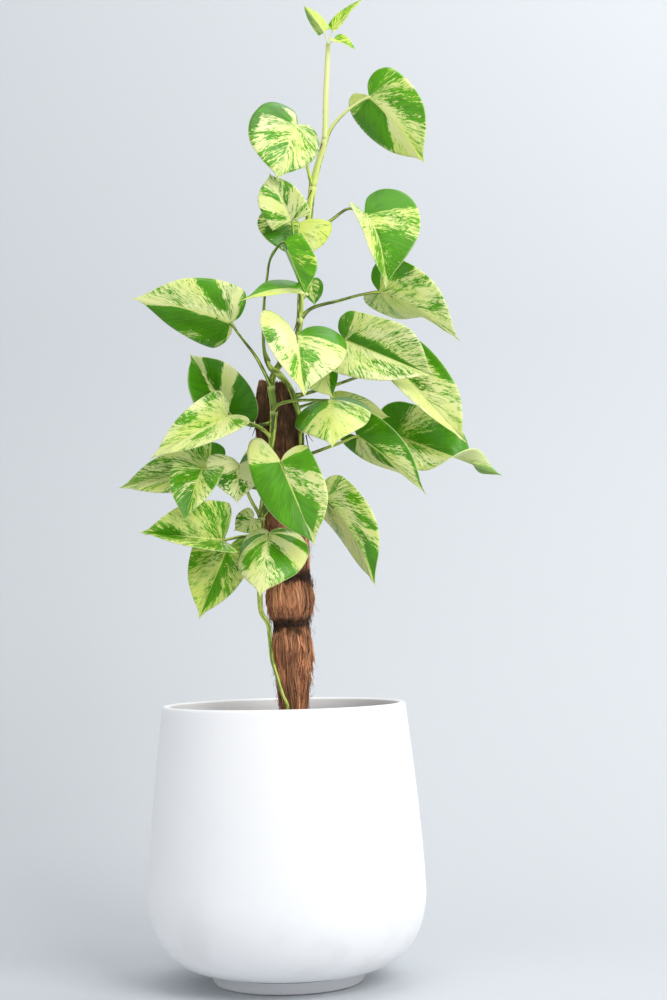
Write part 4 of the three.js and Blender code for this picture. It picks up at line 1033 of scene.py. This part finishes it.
def blade_shell(leaf, marks, seed, sizes):
    """The blade with both faces and its edge, as points, faces and the three values at each corner."""
    points, faces = blade_surface(leaf, marks, seed, sizes)
    normals = surface_normals(points, faces)
    count = len(points)
    thickness = BLADE_THICKNESS * min(1, leaf["width"] / FULL_STALK_WIDTH)
    shell = [p + n * thickness / 2 for p, n in zip(points, normals)]
    shell += [p - n * thickness / 2 for p, n in zip(points, normals)]
    loops, flow, shades, blade = [], [], [], []

    def add(corners):
        """Adds a face from corners of (point's number, values, 1 for the underside)."""
        loops.append(tuple(corner[0] for corner in corners))
        for _, (place, green, rib, out), under in corners:
            flow.append(place)
            shades.append((green, marks["tone"], marks["warmth"]))
            blade.append((rib, out, under))

    edges = {}
    for face in faces:
        add([(number, values, 0) for number, values in face])
        add([(count + number, values, 1) for number, values in reversed(face)])
        for (start, first), (stop, second) in zip(face, face[1:] + face[:1]):
            edges[(start, stop)] = (first, second)
    for (start, stop), (first, second) in edges.items():
        if (stop, start) not in edges:
            add([(start, first, 0), (count + start, first, 1), (count + stop, second, 1), (stop, second, 0)])
    return shell, loops, flow, shades, blade


def leaf_stalk(leaf, number):
    """The stalk as a tube from the vine to the rib under the blade's base."""
    joint, length, turn = blade_placing(leaf)
    sideways, forward, down, _ = midrib(leaf, RIB_SHARE, length)
    under = joint + turn @ Vector((0, 0, -RIB_DEPTH))
    end = joint + turn @ Vector((sideways, forward, down - RIB_DEPTH / 2))
    path = even_path([Vector(point) for point in leaf["stalk"]] + [under, end], STALK_STEP)
    small = min(1, leaf["width"] / FULL_STALK_WIDTH)

    def radius_at(along, _):
        sheath = SHEATH_SWELLING * hump(along, SHEATH_REACH)
        knee = KNEE_SWELLING * hump(along - KNEE_PLACE, KNEE_REACH)
        return STALK_RADIUS * small * (STALK_START - STALK_TAPER * along + sheath + knee)

    return tube_mesh(path, radius_at, STALK_SIDES, STALK_SEED + number)


def make_leaf(number, leaf, marks, materials, sizes):
    """One leaf: its blade and its stalk in one piece."""
    points, faces, flow, shades, blade = blade_shell(leaf, marks, number * LEAF_SEED_STEP, sizes)
    stalk_points, stalk_faces, stalk_flow = leaf_stalk(leaf, number)
    slots = [0] * len(faces) + [1] * len(stalk_faces)
    add_mesh(points, faces, stalk_points, stalk_faces)
    piece = new_object(f"leaf_{number:02d}_marbled", points, faces, *materials)
    corners = len(stalk_flow)
    store(piece.data, "flow", flow + stalk_flow)
    store(piece.data, "marks", shades + [(0, 0, 0)] * corners)
    store(piece.data, "blade", blade + [(1, 0.5, 0)] * corners)
    store(piece.data, "scar", [0] * (len(flow) + corners))
    piece.data.polygons.foreach_set("material_index", slots)
    finish_piece(piece, "leaf", f"leaf_{number:02d}")


class PothosLeaves(bpy.types.Operator):
    """Make the thirty-two marbled leaves with their stalks"""

    bl_idname = "pothos.leaves"
    bl_label = "Marbled leaves"

    def execute(self, context):
        colours, sizes = context.scene.pothos_colours, context.scene.pothos_sizes
        blade = leaf_material(colours)
        stalk = stem_material(colours, "leaf_stalk", pale_share=-0.05, pale_from=0.88, pale_to=1.06)
        for number, (leaf, marks) in enumerate(zip(LEAVES, LEAF_MARKS), 1):
            make_leaf(number, {**USUAL_LEAF, **leaf}, marks, (blade, stalk), sizes)
        return {"FINISHED"}


# Vines and roots

def vine_piece(name, node, places, nodes, material, seed):
    """A vine as a smooth tube with a swelling, a pale ring and a scar at each node."""
    path = even_path([Vector(place[:3]) for place in places], VINE_STEP)

    def radius_at(_, centre):
        radius = places[-1][3]
        for low, high in zip(places, places[1:]):
            if low[2] <= centre.z <= high[2]:
                radius = low[3] + (high[3] - low[3]) * (centre.z - low[2]) / (high[2] - low[2])
        for height in nodes:
            radius += NODE_SWELLING * hump(centre.z - height, NODE_REACH)
            radius -= SCAR_DIP * hump(centre.z - height - SCAR_RISE, SCAR_REACH)
        return radius * VINE_SHARE

    points, faces, flow = tube_mesh(path, radius_at, VINE_SIDES, seed)
    scars = []
    for index in (index for face in faces for index in face):
        above = min((points[index].z - height - SCAR_RISE for height in nodes), key=abs)
        scars.append(hump(above, SCAR_HALF) - hump(above + RING_DROP, RING_HALF))
    piece = new_object(name, points, faces, material)
    store(piece.data, "flow", flow)
    store(piece.data, "scar", scars)
    finish_piece(piece, "vine", node)


# Thin dark roots that grow from the nodes: where each starts, where it ends and how far it sags.
ROOTS = [
    ((-25, -18, 646), (-33, -26, 628), 3), ((-24, -16, 640), (-30, -14, 622), 2),
    ((-27, -14, 652), (-36, -18, 641), 3), ((31, -14, 632), (40, -16, 614), 3),
    ((32, -14, 622), (37, -18, 600), 3), ((24, -16, 752), (17, -22, 738), 3),
    ((44, -6, 908), (38, -12, 896), 2), ((57, -4, 963), (53, -10, 952), 2),
    ((-17, -22, 524), (-8, -30, 508), 3), ((22, -20, 636), (16, -30, 624), 3),
]
ROOT_RADIUS = 0.75
ROOT_SIDES = 7
ROOT_STEP = 2


class PothosVines(bpy.types.Operator):
    """Make both vines and their thin roots"""

    bl_idname = "pothos.vines"
    bl_label = "Vines and roots"

    def execute(self, context):
        colours = context.scene.pothos_colours
        bark = stem_material(colours, "vine_skin", pale_share=-0.01, pale_from=0.9, pale_to=0.985)
        vine_piece("main_vine_skin", "main_vine", MAIN_VINE_PATH, MAIN_VINE_NODES, bark, seed=3)
        vine_piece("second_vine_skin", "second_vine", SECOND_VINE_PATH, SECOND_VINE_NODES, bark, seed=17)

        brown = srgb(86, 58, 38)
        root_bark = plain_material("root_bark", brown, roughness=0.8, soft_scale=300.0, depth=0.0004)
        points, faces = [], []
        for start, end, sag in ROOTS:
            start, end = Vector(start), Vector(end)
            path = even_path([start, (start + end) / 2 + Vector((0, -sag, -sag)), end], ROOT_STEP)
            add_mesh(points, faces, *tube_mesh(
                path, lambda along, _: ROOT_RADIUS * (1.1 - 0.75 * along), ROOT_SIDES, 0)[:2])
        finish_piece(new_object("aerial_roots", points, faces, root_bark), "vine")
        return {"FINISHED"}


# The coir pole

def pole_point(angle, height, off):
    """A point off the coir's surface, which is folded lengthwise and drawn in at the ties."""
    wide_folds = 0.05 * math.sin(3 * angle + height / 90)
    narrow_folds = 0.035 * math.sin(7 * angle - height / 55)
    fine_folds = 0.018 * math.sin(23 * angle + 1.3 * math.sin(height / 23)) * math.sin(height / 37 + angle)
    folds = 0 if height < FOLDS_FROM else wide_folds + narrow_folds + fine_folds
    radius = table_at(POLE_OUTLINE, height, 1) * (1 + folds) + off
    for tie in TIE_HEIGHTS:
        radius -= WAIST_DEPTH * hump(height - tie, WAIST_REACH)
    x = table_at(POLE_OUTLINE, height, 2) + radius * math.cos(angle)
    return Vector((x, radius * math.sin(angle) * table_at(POLE_OUTLINE, height, 3), height))


def coir_skin(sides, step, sink):
    """The pole's skin as a closed mesh: bulges between its ties, lengthwise folds and a ragged top."""
    heights = [POLE_BOTTOM + step * i for i in range(int((POLE_TOP - POLE_BOTTOM) / step))] + [POLE_TOP]
    rng = random.Random(7)
    teeth = [rng.uniform(*TOOTH_RANGE) for _ in range(sides)]
    points = []
    for height in heights:
        for j in range(sides):
            angle = 2 * math.pi * j / sides
            point = pole_point(angle, height, -sink)
            split = SPLIT_DEPTH if abs(math.cos(angle) - SPLIT_PLACE) < SPLIT_WIDTH else 0
            tooth = teeth[j] * TOOTH_SHARE - split
            point.z += smoothstep(height, POLE_TOP - RAGGED_REACH, POLE_TOP) * tooth
            points.append(point)
    faces = ring_faces(len(heights), sides)
    top = len(points) - sides
    for first, dip in ((0, 0), (top, TOP_DIP)):
        centre = sum(points[first:first + sides], Vector()) / sides
        points.append(centre - Vector((0, 0, dip)))
        for j in range(sides):
            a, b = first + j, first + (j + 1) % sides
            faces.append((a, b, len(points) - 1) if first else (b, a, len(points) - 1))
    return points, faces


# Thick strands of matted coir: the share of them, the heights and the angles they start between, their least
# and greatest length, and how far they stand off at their lower end.
STRAND_GROUPS = [
    (0.62, (325, 668), (0, 360), (24, 62), 0.8), (0.1, (401, 404), (0, 360), (18, 44), 2.4),
    (0.1, (456, 459), (0, 360), (18, 44), 2.0), (0.1, (368, 398), (-75, 30), (20, 40), 7.5),
    (0.08, (648, 680), (0, 360), (14, 30), 1.2),
]
STRAND_STEPS = 8
STRAND_SIDES = 5


def strand_mesh(count):
    """Thick coir strands on the pole, and a tone for each face corner."""
    rng = random.Random(21)
    points, faces, tones = [], [], []
    for share, heights, angles, lengths, flare in STRAND_GROUPS:
        for _ in range(round(count * share)):
            start, angle = rng.uniform(*heights), rng.uniform(*angles) * DEGREE
            length, lean, stand = rng.uniform(*lengths), rng.uniform(-0.25, 0.25), rng.uniform(0.1, 1) * flare
            wave, radius, tone = rng.uniform(0, 6), rng.uniform(0.45, 1.15), rng.random()
            path = []
            for i in range(STRAND_STEPS + 1):
                down = i / STRAND_STEPS
                height = max(STRANDS_FROM, start - length * down)
                turn = angle + lean * down + 0.05 * math.sin(wave + 5 * down)
                path.append(pole_point(turn, height, 0.1 + stand * down ** 2))
            if path[-1].z > STRANDS_FROM:
                strand_points, strand_faces, flow = tube_mesh(
                    path, lambda along, _: radius * (0.35 + 2.6 * along * (1 - along)), STRAND_SIDES, 0)
                add_mesh(points, faces, strand_points, strand_faces)
                tones += [tone] * len(flow)
    return points, faces, tones


# Geometry nodes

def growth_tree(name, inputs):
    """A geometry node tree that strews points on a surface."""
    inputs = {"Geometry": "NodeSocketGeometry", "Per area": VALUE, "Seed": "NodeSocketInt",
              "Finish": "NodeSocketMaterial", **inputs}
    tree, make, given, end = new_tree("GeometryNodeTree", name, inputs, {"Geometry": "NodeSocketGeometry"})
    spread = make.node("GeometryNodeDistributePointsOnFaces", {
        "Mesh": given["Geometry"], "Density": given["Per area"], "Seed": given["Seed"]})
    return tree, make, given, end, spread.outputs


def toned_copies(make, points, shape, rotation, scale, attribute, seed):
    """A shape at each point, turned and scaled, with a random tone for each."""
    copies = make.node("GeometryNodeInstanceOnPoints", {
        "Points": points, "Instance": shape, "Rotation": rotation, "Scale": scale})
    toned = make.node("GeometryNodeStoreNamedAttribute", {
        "Geometry": copies.outputs[0], "Name": attribute, "Value": make.random(0.0, 1.0, seed, "FLOAT")},
        data_type="FLOAT", domain="INSTANCE")
    return make.node("GeometryNodeRealizeInstances", {"Geometry": toned.outputs[0]}).outputs[0]


def pushed(make, geometry, scale, strength):
    """A geometry with its points pushed to and fro by a noise."""
    push = make.noise(make.node("GeometryNodeInputPosition").outputs[0], scale, 1.0, output="Color")
    offset = make.scaled(make.vector("SUBTRACT", push, MIDDLE), strength)
    return make.node("GeometryNodeSetPosition", {"Geometry": geometry, "Offset": offset}).outputs[0]


def painted(make, geometry, finish, end):
    """Ends a tree with plain geometry in its material."""
    whole = make.node("GeometryNodeRealizeInstances", {"Geometry": geometry}).outputs[0]
    result = make.node("GeometryNodeSetMaterial", {"Geometry": whole, "Material": finish}).outputs[0]
    make.fill(end, {"Geometry": result})


def fibre_tree(name, bend):
    """Geometry nodes that grow short bent fibres on a skin, each mostly upright."""
    tree, make, given, end, spread = growth_tree(
        name, {"Length": VALUE, "Radius": VALUE, "Tilt": VALUE, "Lean": VALUE})
    upright = make.node("FunctionNodeAlignRotationToVector", {"Vector": spread["Normal"]},
                        axis="X", pivot_axis="Z").outputs[0]
    swings = make.node("ShaderNodeCombineXYZ", {"X": given["Tilt"], "Y": given["Lean"]}).outputs[0]
    turned_by = make.vector("MULTIPLY", make.random((-1, -1, 0), (1, 1, 0), given["Seed"]), swings)
    euler = make.node("FunctionNodeEulerToRotation", {0: turned_by}).outputs[0]
    turn = make.node("FunctionNodeRotateRotation", {0: upright, 1: euler}, rotation_space="LOCAL").outputs[0]

    half = make.math("MULTIPLY", given["Length"], 0.5)
    low = make.node("ShaderNodeCombineXYZ", {"Z": make.math("MULTIPLY", half, -1.0)}).outputs[0]
    high = make.node("ShaderNodeCombineXYZ", {"Z": half}).outputs[0]
    line = make.node("GeometryNodeCurvePrimitiveLine", {"Start": low, "End": high}).outputs[0]
    strand = make.node("GeometryNodeResampleCurve", {"Curve": line, "Count": 6}).outputs[0]
    size = make.random(0.45, 1.35, 4, "FLOAT")
    curves = toned_copies(make, spread["Points"], strand, turn, size, "fibre_tone", 9)
    section = make.node("GeometryNodeCurvePrimitiveCircle", {"Resolution": 3, "Radius": given["Radius"]})
    tube = make.node("GeometryNodeCurveToMesh", {
        "Curve": pushed(make, curves, 55.0, bend), "Profile Curve": section.outputs[0], "Fill Caps": True})
    painted(make, tube.outputs[0], given["Finish"], end)
    return tree


def chip_tree(name):
    """Geometry nodes that strew rough grains over a surface."""
    tree, make, given, end, spread = growth_tree(
        name, {"Smallest": VECTOR, "Largest": VECTOR, "Roughness": VALUE})
    grain = make.node("GeometryNodeMeshIcoSphere", {"Radius": 1.0, "Subdivisions": 2}).outputs["Mesh"]
    turn = make.random((-0.5, -0.5, 0), (0.5, 0.5, 6.3), given["Seed"])
    size = make.random(given["Smallest"], given["Largest"], 5)
    grains = toned_copies(make, spread["Points"], grain, turn, size, "chip_tone", 12)
    flat = make.node("GeometryNodeSetShadeSmooth", {
        "Geometry": pushed(make, grains, 320.0, given["Roughness"]), "Shade Smooth": False})
    painted(make, flat.outputs[0], given["Finish"], end)
    return tree


# The ties, each of three cords twisted together.
TIE_STRANDS = 3
TIE_STEPS = 150
TIE_SIDES = 8
TIE_TWISTS = 13
TIE_SINK = 0.6
CORD_RADII = (0.85, 0.95)
WIND_OUT, WIND_UP = 0.72, 1.1  # how far each cord winds about the middle of the tie


def tie_mesh(height):
    """A cord of three twisted strands that cuts into the coir at a height."""
    centre = table_at(POLE_OUTLINE, height, 2)
    radius_x = table_at(POLE_OUTLINE, height, 1) - TIE_SINK
    radius_y = radius_x * table_at(POLE_OUTLINE, height, 3)
    angles = [2 * math.pi * j / TIE_SIDES for j in range(TIE_SIDES)]
    points, faces = [], []
    for strand in range(TIE_STRANDS):
        base = len(points)
        for i in range(TIE_STEPS):
            around = 2 * math.pi * i / TIE_STEPS
            twist = TIE_TWISTS * around + 2 * math.pi * strand / TIE_STRANDS
            out = WIND_OUT * math.cos(twist) + 0.5 * math.sin(7 * around + height)
            up = height + 1.4 * math.sin(around * 2) + 0.8 * math.sin(5 * around)
            up += WIND_UP * math.sin(twist)
            ahead, aside = math.cos(around), math.sin(around)
            outward = Vector((ahead, aside, 0))
            middle = Vector((centre + (radius_x + out) * ahead, (radius_y + out) * aside, up))
            points += [middle + outward * CORD_RADII[0] * math.cos(angle)
                       + Vector((0, 0, CORD_RADII[1] * math.sin(angle))) for angle in angles]
            here, after = base + i * TIE_SIDES, base + (i + 1) % TIE_STEPS * TIE_SIDES
            for j in range(TIE_SIDES):
                k = (j + 1) % TIE_SIDES
                faces.append((here + j, after + j, after + k, here + k))
    return points, faces


class PothosPole(bpy.types.Operator):
    """Make the coir pole with its fibres and ties"""

    bl_idname = "pothos.pole"
    bl_label = "Coir pole"

    def execute(self, context):
        colours, sizes = context.scene.pothos_colours, context.scene.pothos_sizes
        matted = coir_material(colours, "matted_coir", low_painted_shade=0.25)
        loose = coir_material(colours, "coir_fibre", low_painted_shade=0.0)
        points, faces = coir_skin(sides=96, step=4, sink=0.6)
        pole = new_object("coir_pole_skin", points, faces, matted)
        store(pole.data, "fibre_tone", [0.4] * sum(len(face) for face in faces))
        points, faces, tones = strand_mesh(sizes.strand_count)
        strands = new_object("coir_strands", points, faces, loose)
        store(strands.data, "fibre_tone", tones)

        points, faces = coir_skin(sides=32, step=9, sink=1.0)
        whole = [face for face in faces if all(FIBRES_FROM < points[i].z < FIBRES_TO for i in face)]
        low = [face for face in whole if max(points[i].z for i in face) < FRINGE_TO]
        bed, area = skin_bed(points, whole)
        coat = grown(bed, fibre_tree("Lying fibres", bend=0.005), "coir_fibres", {
            "Per area": sizes.fibre_count / area, "Length": 0.034, "Radius": sizes.fibre_radius, "Tilt": 0.3,
            "Lean": 0.07, "Seed": 3, "Finish": loose})
        bpy.data.objects.remove(bed)
        bed, _ = skin_bed(points, low)
        fringe = grown(bed, fibre_tree("Loose fibres", bend=0.012), "coir_loose_fibres", {
            "Per area": sizes.loose_fibre_count / area, "Length": 0.03, "Radius": sizes.fibre_radius * 0.7,
            "Tilt": 0.7, "Lean": 0.45, "Seed": 8, "Finish": loose})
        bpy.data.objects.remove(bed)
        finish_piece(pole, "coir", "coir_pole")
        for piece in (strands, coat, fringe):
            finish_piece(piece, "coir")

        cord = plain_material("tie_cord", srgb(44, 33, 27), roughness=0.9, soft_scale=240.0, depth=0.0006)
        for number, height in enumerate(TIE_HEIGHTS, 1):
            tie = new_object(f"tie_{number}_cord", *tie_mesh(height), cord)
            finish_piece(tie, "tie", f"tie_{number}")
        return {"FINISHED"}


# The planter and its potting mix

def belly_wall(inset, steps):
    """The planter's wall as (radius, height) from the foot up to the rim."""
    wall = [(FOOT_RADIUS - inset, FOOT_HEIGHT)]
    for i in range(1, steps + 1):
        angle = i / steps * math.pi / 2
        radius = FOOT_RADIUS + (BELLY_RADIUS - FOOT_RADIUS) * math.sin(angle) ** BELLY_FULLNESS
        height = BELLY_HEIGHT - (BELLY_HEIGHT - FOOT_HEIGHT) * max(0.0, math.cos(angle)) ** BELLY_FULLNESS
        wall.append((radius - inset, height))
    for i in range(1, steps + 1):
        share = i / steps
        radius = BELLY_RADIUS - (BELLY_RADIUS - RIM_RADIUS) * share ** UPPER_FULLNESS
        height = BELLY_HEIGHT + (PLANTER_HEIGHT - RIM_ROUNDING - BELLY_HEIGHT) * share
        wall.append((radius - inset, height))
    return wall


def turned(profile, segments):
    """A closed profile of (radius, height) from axis to axis, turned about the upright axis."""
    points, faces, rings = [], [], []
    for radius, height in profile:
        on_axis = radius < LEAST_GAP
        count = 1 if on_axis else segments
        rings.append([len(points) + (0 if on_axis else j) for j in range(segments)])
        for j in range(count):
            angle = 2 * math.pi * j / segments
            points.append(Vector((0, 0, height)) if on_axis else
                          Vector((radius * math.cos(angle), radius * math.sin(angle), height)))
    for low, high in zip(rings, rings[1:]):
        for j in range(segments):
            k = (j + 1) % segments
            kept = tuple(dict.fromkeys((low[j], low[k], high[k], high[j])))
            if len(kept) > 2:
                faces.append(kept)
    return points, faces


WALL_STEPS = 28
INNER_WALL_STEPS = 20
RIM_STEPS = 8
FLOOR_BEND = 8  # how far the round bend between an inner wall and its floor reaches
SOIL_WALL_STEPS = 16
SOIL_RINGS = 26
SOIL_SEGMENTS = 96
SOIL_CLEARANCE = PLANTER_WALL + 0.3
FLOOR_MARGIN = 4
SOIL_MARGIN = 6
CHIP_MARGIN = 7  # the chips keep this far from the wall
CHIP_DEPTH = 8  # and lie no lower than this under the soil's top


class PothosPlanter(bpy.types.Operator):
    """Make the round white planter"""

    bl_idname = "pothos.planter"
    bl_label = "Planter"

    def execute(self, context):
        inner = [place for place in reversed(belly_wall(PLANTER_WALL, INNER_WALL_STEPS))
                 if place[1] > PLANTER_FLOOR + FLOOR_MARGIN]
        rim = []
        for i in range(RIM_STEPS + 1):
            angle = math.pi * i / RIM_STEPS
            rim.append((RIM_RADIUS - PLANTER_WALL / 2 + PLANTER_WALL / 2 * math.cos(angle),
                        PLANTER_HEIGHT - RIM_ROUNDING + RIM_ROUNDING * math.sin(angle)))
        base = [(0, 0), *((BASE_RADIUS + out, up) for out, up in BASE_BEVEL)]
        floor = [(inner[-1][0] - FLOOR_BEND, PLANTER_FLOOR), (0, PLANTER_FLOOR)]
        profile = base + belly_wall(0, WALL_STEPS)[:-1] + rim + inner[1:] + floor
        points, faces = turned(profile, context.scene.pothos_sizes.planter_segments)
        glaze = glaze_material(context.scene.pothos_colours)
        finish_piece(new_object("planter_glazed", points, faces, glaze), "planter", "planter")
        return {"FINISHED"}


def soil_rise(x, y):
    """The soil's surface rises and falls by a few millimetres."""
    swell = 2.6 * math.sin(x / 31 + 0.6) * math.cos(y / 27 - 0.4)
    lumps = 1.3 * math.sin(x / 9.5 + y / 14) * math.sin(y / 8.2 - x / 19)
    return swell + lumps + 0.8 * math.sin(x * 1.9) * math.sin(y * 1.7)


class PothosSoil(bpy.types.Operator):
    """Make the potting mix with its chips and pale grains"""

    bl_idname = "pothos.soil"
    bl_label = "Potting mix"

    def execute(self, context):
        colours, sizes = context.scene.pothos_colours, context.scene.pothos_sizes
        wall = [place for place in belly_wall(SOIL_CLEARANCE, SOIL_WALL_STEPS)
                if PLANTER_FLOOR + FLOOR_MARGIN < place[1] < SOIL_TOP - SOIL_MARGIN]
        floor = PLANTER_FLOOR + 0.3
        top_radius = RIM_RADIUS - SOIL_CLEARANCE + 2
        profile = [(0, floor), (wall[0][0] - FLOOR_BEND, floor), *wall]
        profile += [(top_radius * (1 - i / SOIL_RINGS), SOIL_TOP) for i in range(SOIL_RINGS + 1)]
        points, faces = turned(profile, SOIL_SEGMENTS)
        for point in points:
            if point.z > SOIL_TOP - 0.01:
                point.z += soil_rise(point.x, point.y)
        peat = soil_material(colours, "damp_peat", light=0.15)
        piece = new_object("potting_mix", points, faces, peat)

        reach = top_radius - CHIP_MARGIN
        inside = [p.z > SOIL_TOP - CHIP_DEPTH and math.hypot(p.x, p.y) < reach for p in points]
        upper = [face for face in faces if all(inside[i] for i in face)]
        bed, area = skin_bed(points, upper)
        bark = soil_material(colours, "bark_chip", light=1.0)
        pale = srgb(206, 202, 190)
        perlite = plain_material("perlite", pale, roughness=0.85, soft_scale=500.0, depth=0.0006)
        tree = chip_tree("Strewn grains")
        chips = grown(bed, tree, "bark_chips", {
            "Per area": sizes.chip_count / area, "Smallest": (0.0012, 0.001, 0.0006),
            "Largest": (0.0052, 0.0034, 0.0022), "Roughness": 0.0022, "Seed": 2, "Finish": bark})
        grains = grown(bed, tree, "perlite_grains", {
            "Per area": sizes.perlite_count / area, "Smallest": (0.0008, 0.0008, 0.0007),
            "Largest": (0.0019, 0.0018, 0.0015), "Roughness": 0.001, "Seed": 6, "Finish": perlite})
        bpy.data.objects.remove(bed)
        finish_piece(piece, "potting_soil", "potting_soil")
        finish_piece(chips, "potting_soil")
        finish_piece(grains, "potting_soil")
        return {"FINISHED"}


# The stage. Its wall and floor are in millimetres, its lights in metres.
WALL_FRONT, WALL_BACK, WALL_TOP, HALF_WIDTH = -4000, 1100, 4000, 4000
WALL_BEND = 900
BEND_STEPS = 16
FLOOR_SOLID, FLOOR_END = 1.7, 3.4  # the floor thins out between these distances
ROOM_LIGHT, SEEN_ROOM_LIGHT = 0.55, 0.78
LIGHT_TARGET = (0, 0, 0.6)

# Each light's name, place, size, power, colour and what it points at.
LIGHTS = [
    ("key_light", (1.5, -2.0, 2.1), 1.5, 48, (1.0, 0.99, 0.97), LIGHT_TARGET),
    ("fill_light", (-2.2, -2.2, 1.0), 2.2, 13, (0.97, 0.985, 1.0), LIGHT_TARGET),
    ("top_light", (0.1, -0.3, 2.8), 1.8, 17.5, (1.0, 1.0, 1.0), LIGHT_TARGET),
    ("back_light", (0.9, 0.9, 1.9), 1.2, 6, (1.0, 0.99, 0.97), LIGHT_TARGET),
    ("wall_light", (2.0, -0.4, 1.1), 1.0, 12, (1.0, 1.0, 1.0), (0.7, 1.1, 0.9)),
]


def pale_surface(name, colour):
    """A matt surface seen only from its front, which thins out away from the object."""
    material, make, shader = new_material(name)
    make.fill(shader.inputs, {"Base Color": colour, "Roughness": 0.9, "Specular IOR Level": 0.2})
    level = make.vector("MULTIPLY", make.place(), (1, 1, 0))
    reach = make.node("ShaderNodeVectorMath", {0: level}, operation="LENGTH").outputs["Value"]
    behind = make.node("ShaderNodeNewGeometry").outputs["Backfacing"]
    gone = make.math("MAXIMUM", make.ramp(reach, FLOOR_SOLID, FLOOR_END), behind)
    clear = make.node("ShaderNodeBsdfTransparent").outputs["BSDF"]
    mixed = make.node("ShaderNodeMixShader", {0: gone, 1: shader.outputs["BSDF"], 2: clear}).outputs[0]
    make.fill(material.node_tree.nodes["Material Output"].inputs, {"Surface": mixed})
    return material


class PothosStage(bpy.types.Operator):
    """Make the pale floor, the soft lights and the camera"""

    bl_idname = "pothos.stage"
    bl_label = "Stage"

    def execute(self, context):
        scene = context.scene
        profile = [(WALL_FRONT, 0.0)]
        for i in range(BEND_STEPS + 1):
            angle = i / BEND_STEPS * math.pi / 2
            profile.append((WALL_BACK - WALL_BEND + WALL_BEND * math.sin(angle),
                            WALL_BEND - WALL_BEND * math.cos(angle)))
        profile.append((WALL_BACK, WALL_TOP))
        points = [Vector((x, y, z)) for y, z in profile for x in (-HALF_WIDTH, HALF_WIDTH)]
        faces = [(2 * i, 2 * i + 1, 2 * i + 3, 2 * i + 2) for i in range(len(profile) - 1)]
        new_object("stage_sweep", points, faces, pale_surface("pale_sweep", srgb(201, 205, 209)))
        near, far = WALL_BACK - WALL_BEND, HALF_WIDTH
        points = [Vector((x, y, 0)) for x, y in (
            (-HALF_WIDTH, near), (HALF_WIDTH, near), (HALF_WIDTH, far), (-HALF_WIDTH, far))]
        rear_floor = pale_surface("pale_rear", srgb(207, 211, 214))
        new_object("stage_rear", points, [(0, 1, 2, 3)], rear_floor)

        for name, place, size, power, colour, target in LIGHTS:
            lamp = bpy.data.lights.new(name, "AREA")
            lamp.size, lamp.energy, lamp.color = size, power, colour
            holder = placed(name, lamp)
            holder.location = place
            holder.rotation_euler = (Vector(target) - Vector(place)).to_track_quat("-Z", "Y").to_euler()

        world = bpy.data.worlds.new("soft_room")
        world.use_nodes = True
        make = NodeMaker(world.node_tree)
        seen = make.node("ShaderNodeLightPath").outputs["Is Camera Ray"]
        strength = make.math("MULTIPLY_ADD", seen, SEEN_ROOM_LIGHT - ROOM_LIGHT, ROOM_LIGHT)
        background = world.node_tree.nodes["Background"]
        make.fill(background.inputs, {"Color": (0.93, 0.95, 0.97), "Strength": strength})
        scene.world = world
        scene.view_settings.view_transform = "Standard"

        camera = bpy.data.cameras.new("photo_camera")
        camera.sensor_width = SENSOR_WIDTH
        camera.lens = SENSOR_WIDTH * CAMERA_FOCAL_PIXELS / PHOTO_LONG_SIDE
        holder = placed("photo_camera", camera)
        pitch, roll = CAMERA_PITCH * DEGREE, CAMERA_ROLL * DEGREE
        turn = Matrix.Rotation(math.pi / 2 + pitch, 4, "X") @ Matrix.Rotation(-roll, 4, "Z")
        holder.matrix_world = Matrix.Translation(Vector(CAMERA_PLACE) * MM) @ turn
        scene.camera = holder
        return {"FINISHED"}


class PothosPanel(bpy.types.Panel):
    """Lists the pieces and their sizes and colours"""

    bl_idname = "VIEW3D_PT_pothos"
    bl_label = "Pothos"
    bl_space_type = "VIEW_3D"
    bl_region_type = "UI"
    bl_category = "Pothos"

    def draw(self, context):
        layout = self.layout
        for operator in OPERATORS:
            layout.operator(operator.bl_idname)
        for group in (context.scene.pothos_sizes, context.scene.pothos_colours):
            box = layout.box()
            for name in group.__annotations__:
                box.prop(group, name)


OPERATORS = (PothosPlanter, PothosSoil, PothosPole, PothosVines, PothosLeaves, PothosStage)
CLASSES = (PothosSizes, PothosColours, *OPERATORS, PothosPanel)


def register():
    for item in CLASSES:
        bpy.utils.register_class(item)
    bpy.types.Scene.pothos_sizes = bpy.props.PointerProperty(type=PothosSizes)
    bpy.types.Scene.pothos_colours = bpy.props.PointerProperty(type=PothosColours)


def unregister():
    del bpy.types.Scene.pothos_colours
    del bpy.types.Scene.pothos_sizes
    for item in reversed(CLASSES):
        bpy.utils.unregister_class(item)


def main():
    register()
    bpy.ops.pothos.planter()
    bpy.ops.pothos.soil()
    bpy.ops.pothos.pole()
    bpy.ops.pothos.vines()
    bpy.ops.pothos.leaves()
    bpy.ops.pothos.stage()


if __name__ == "__main__":
    main()
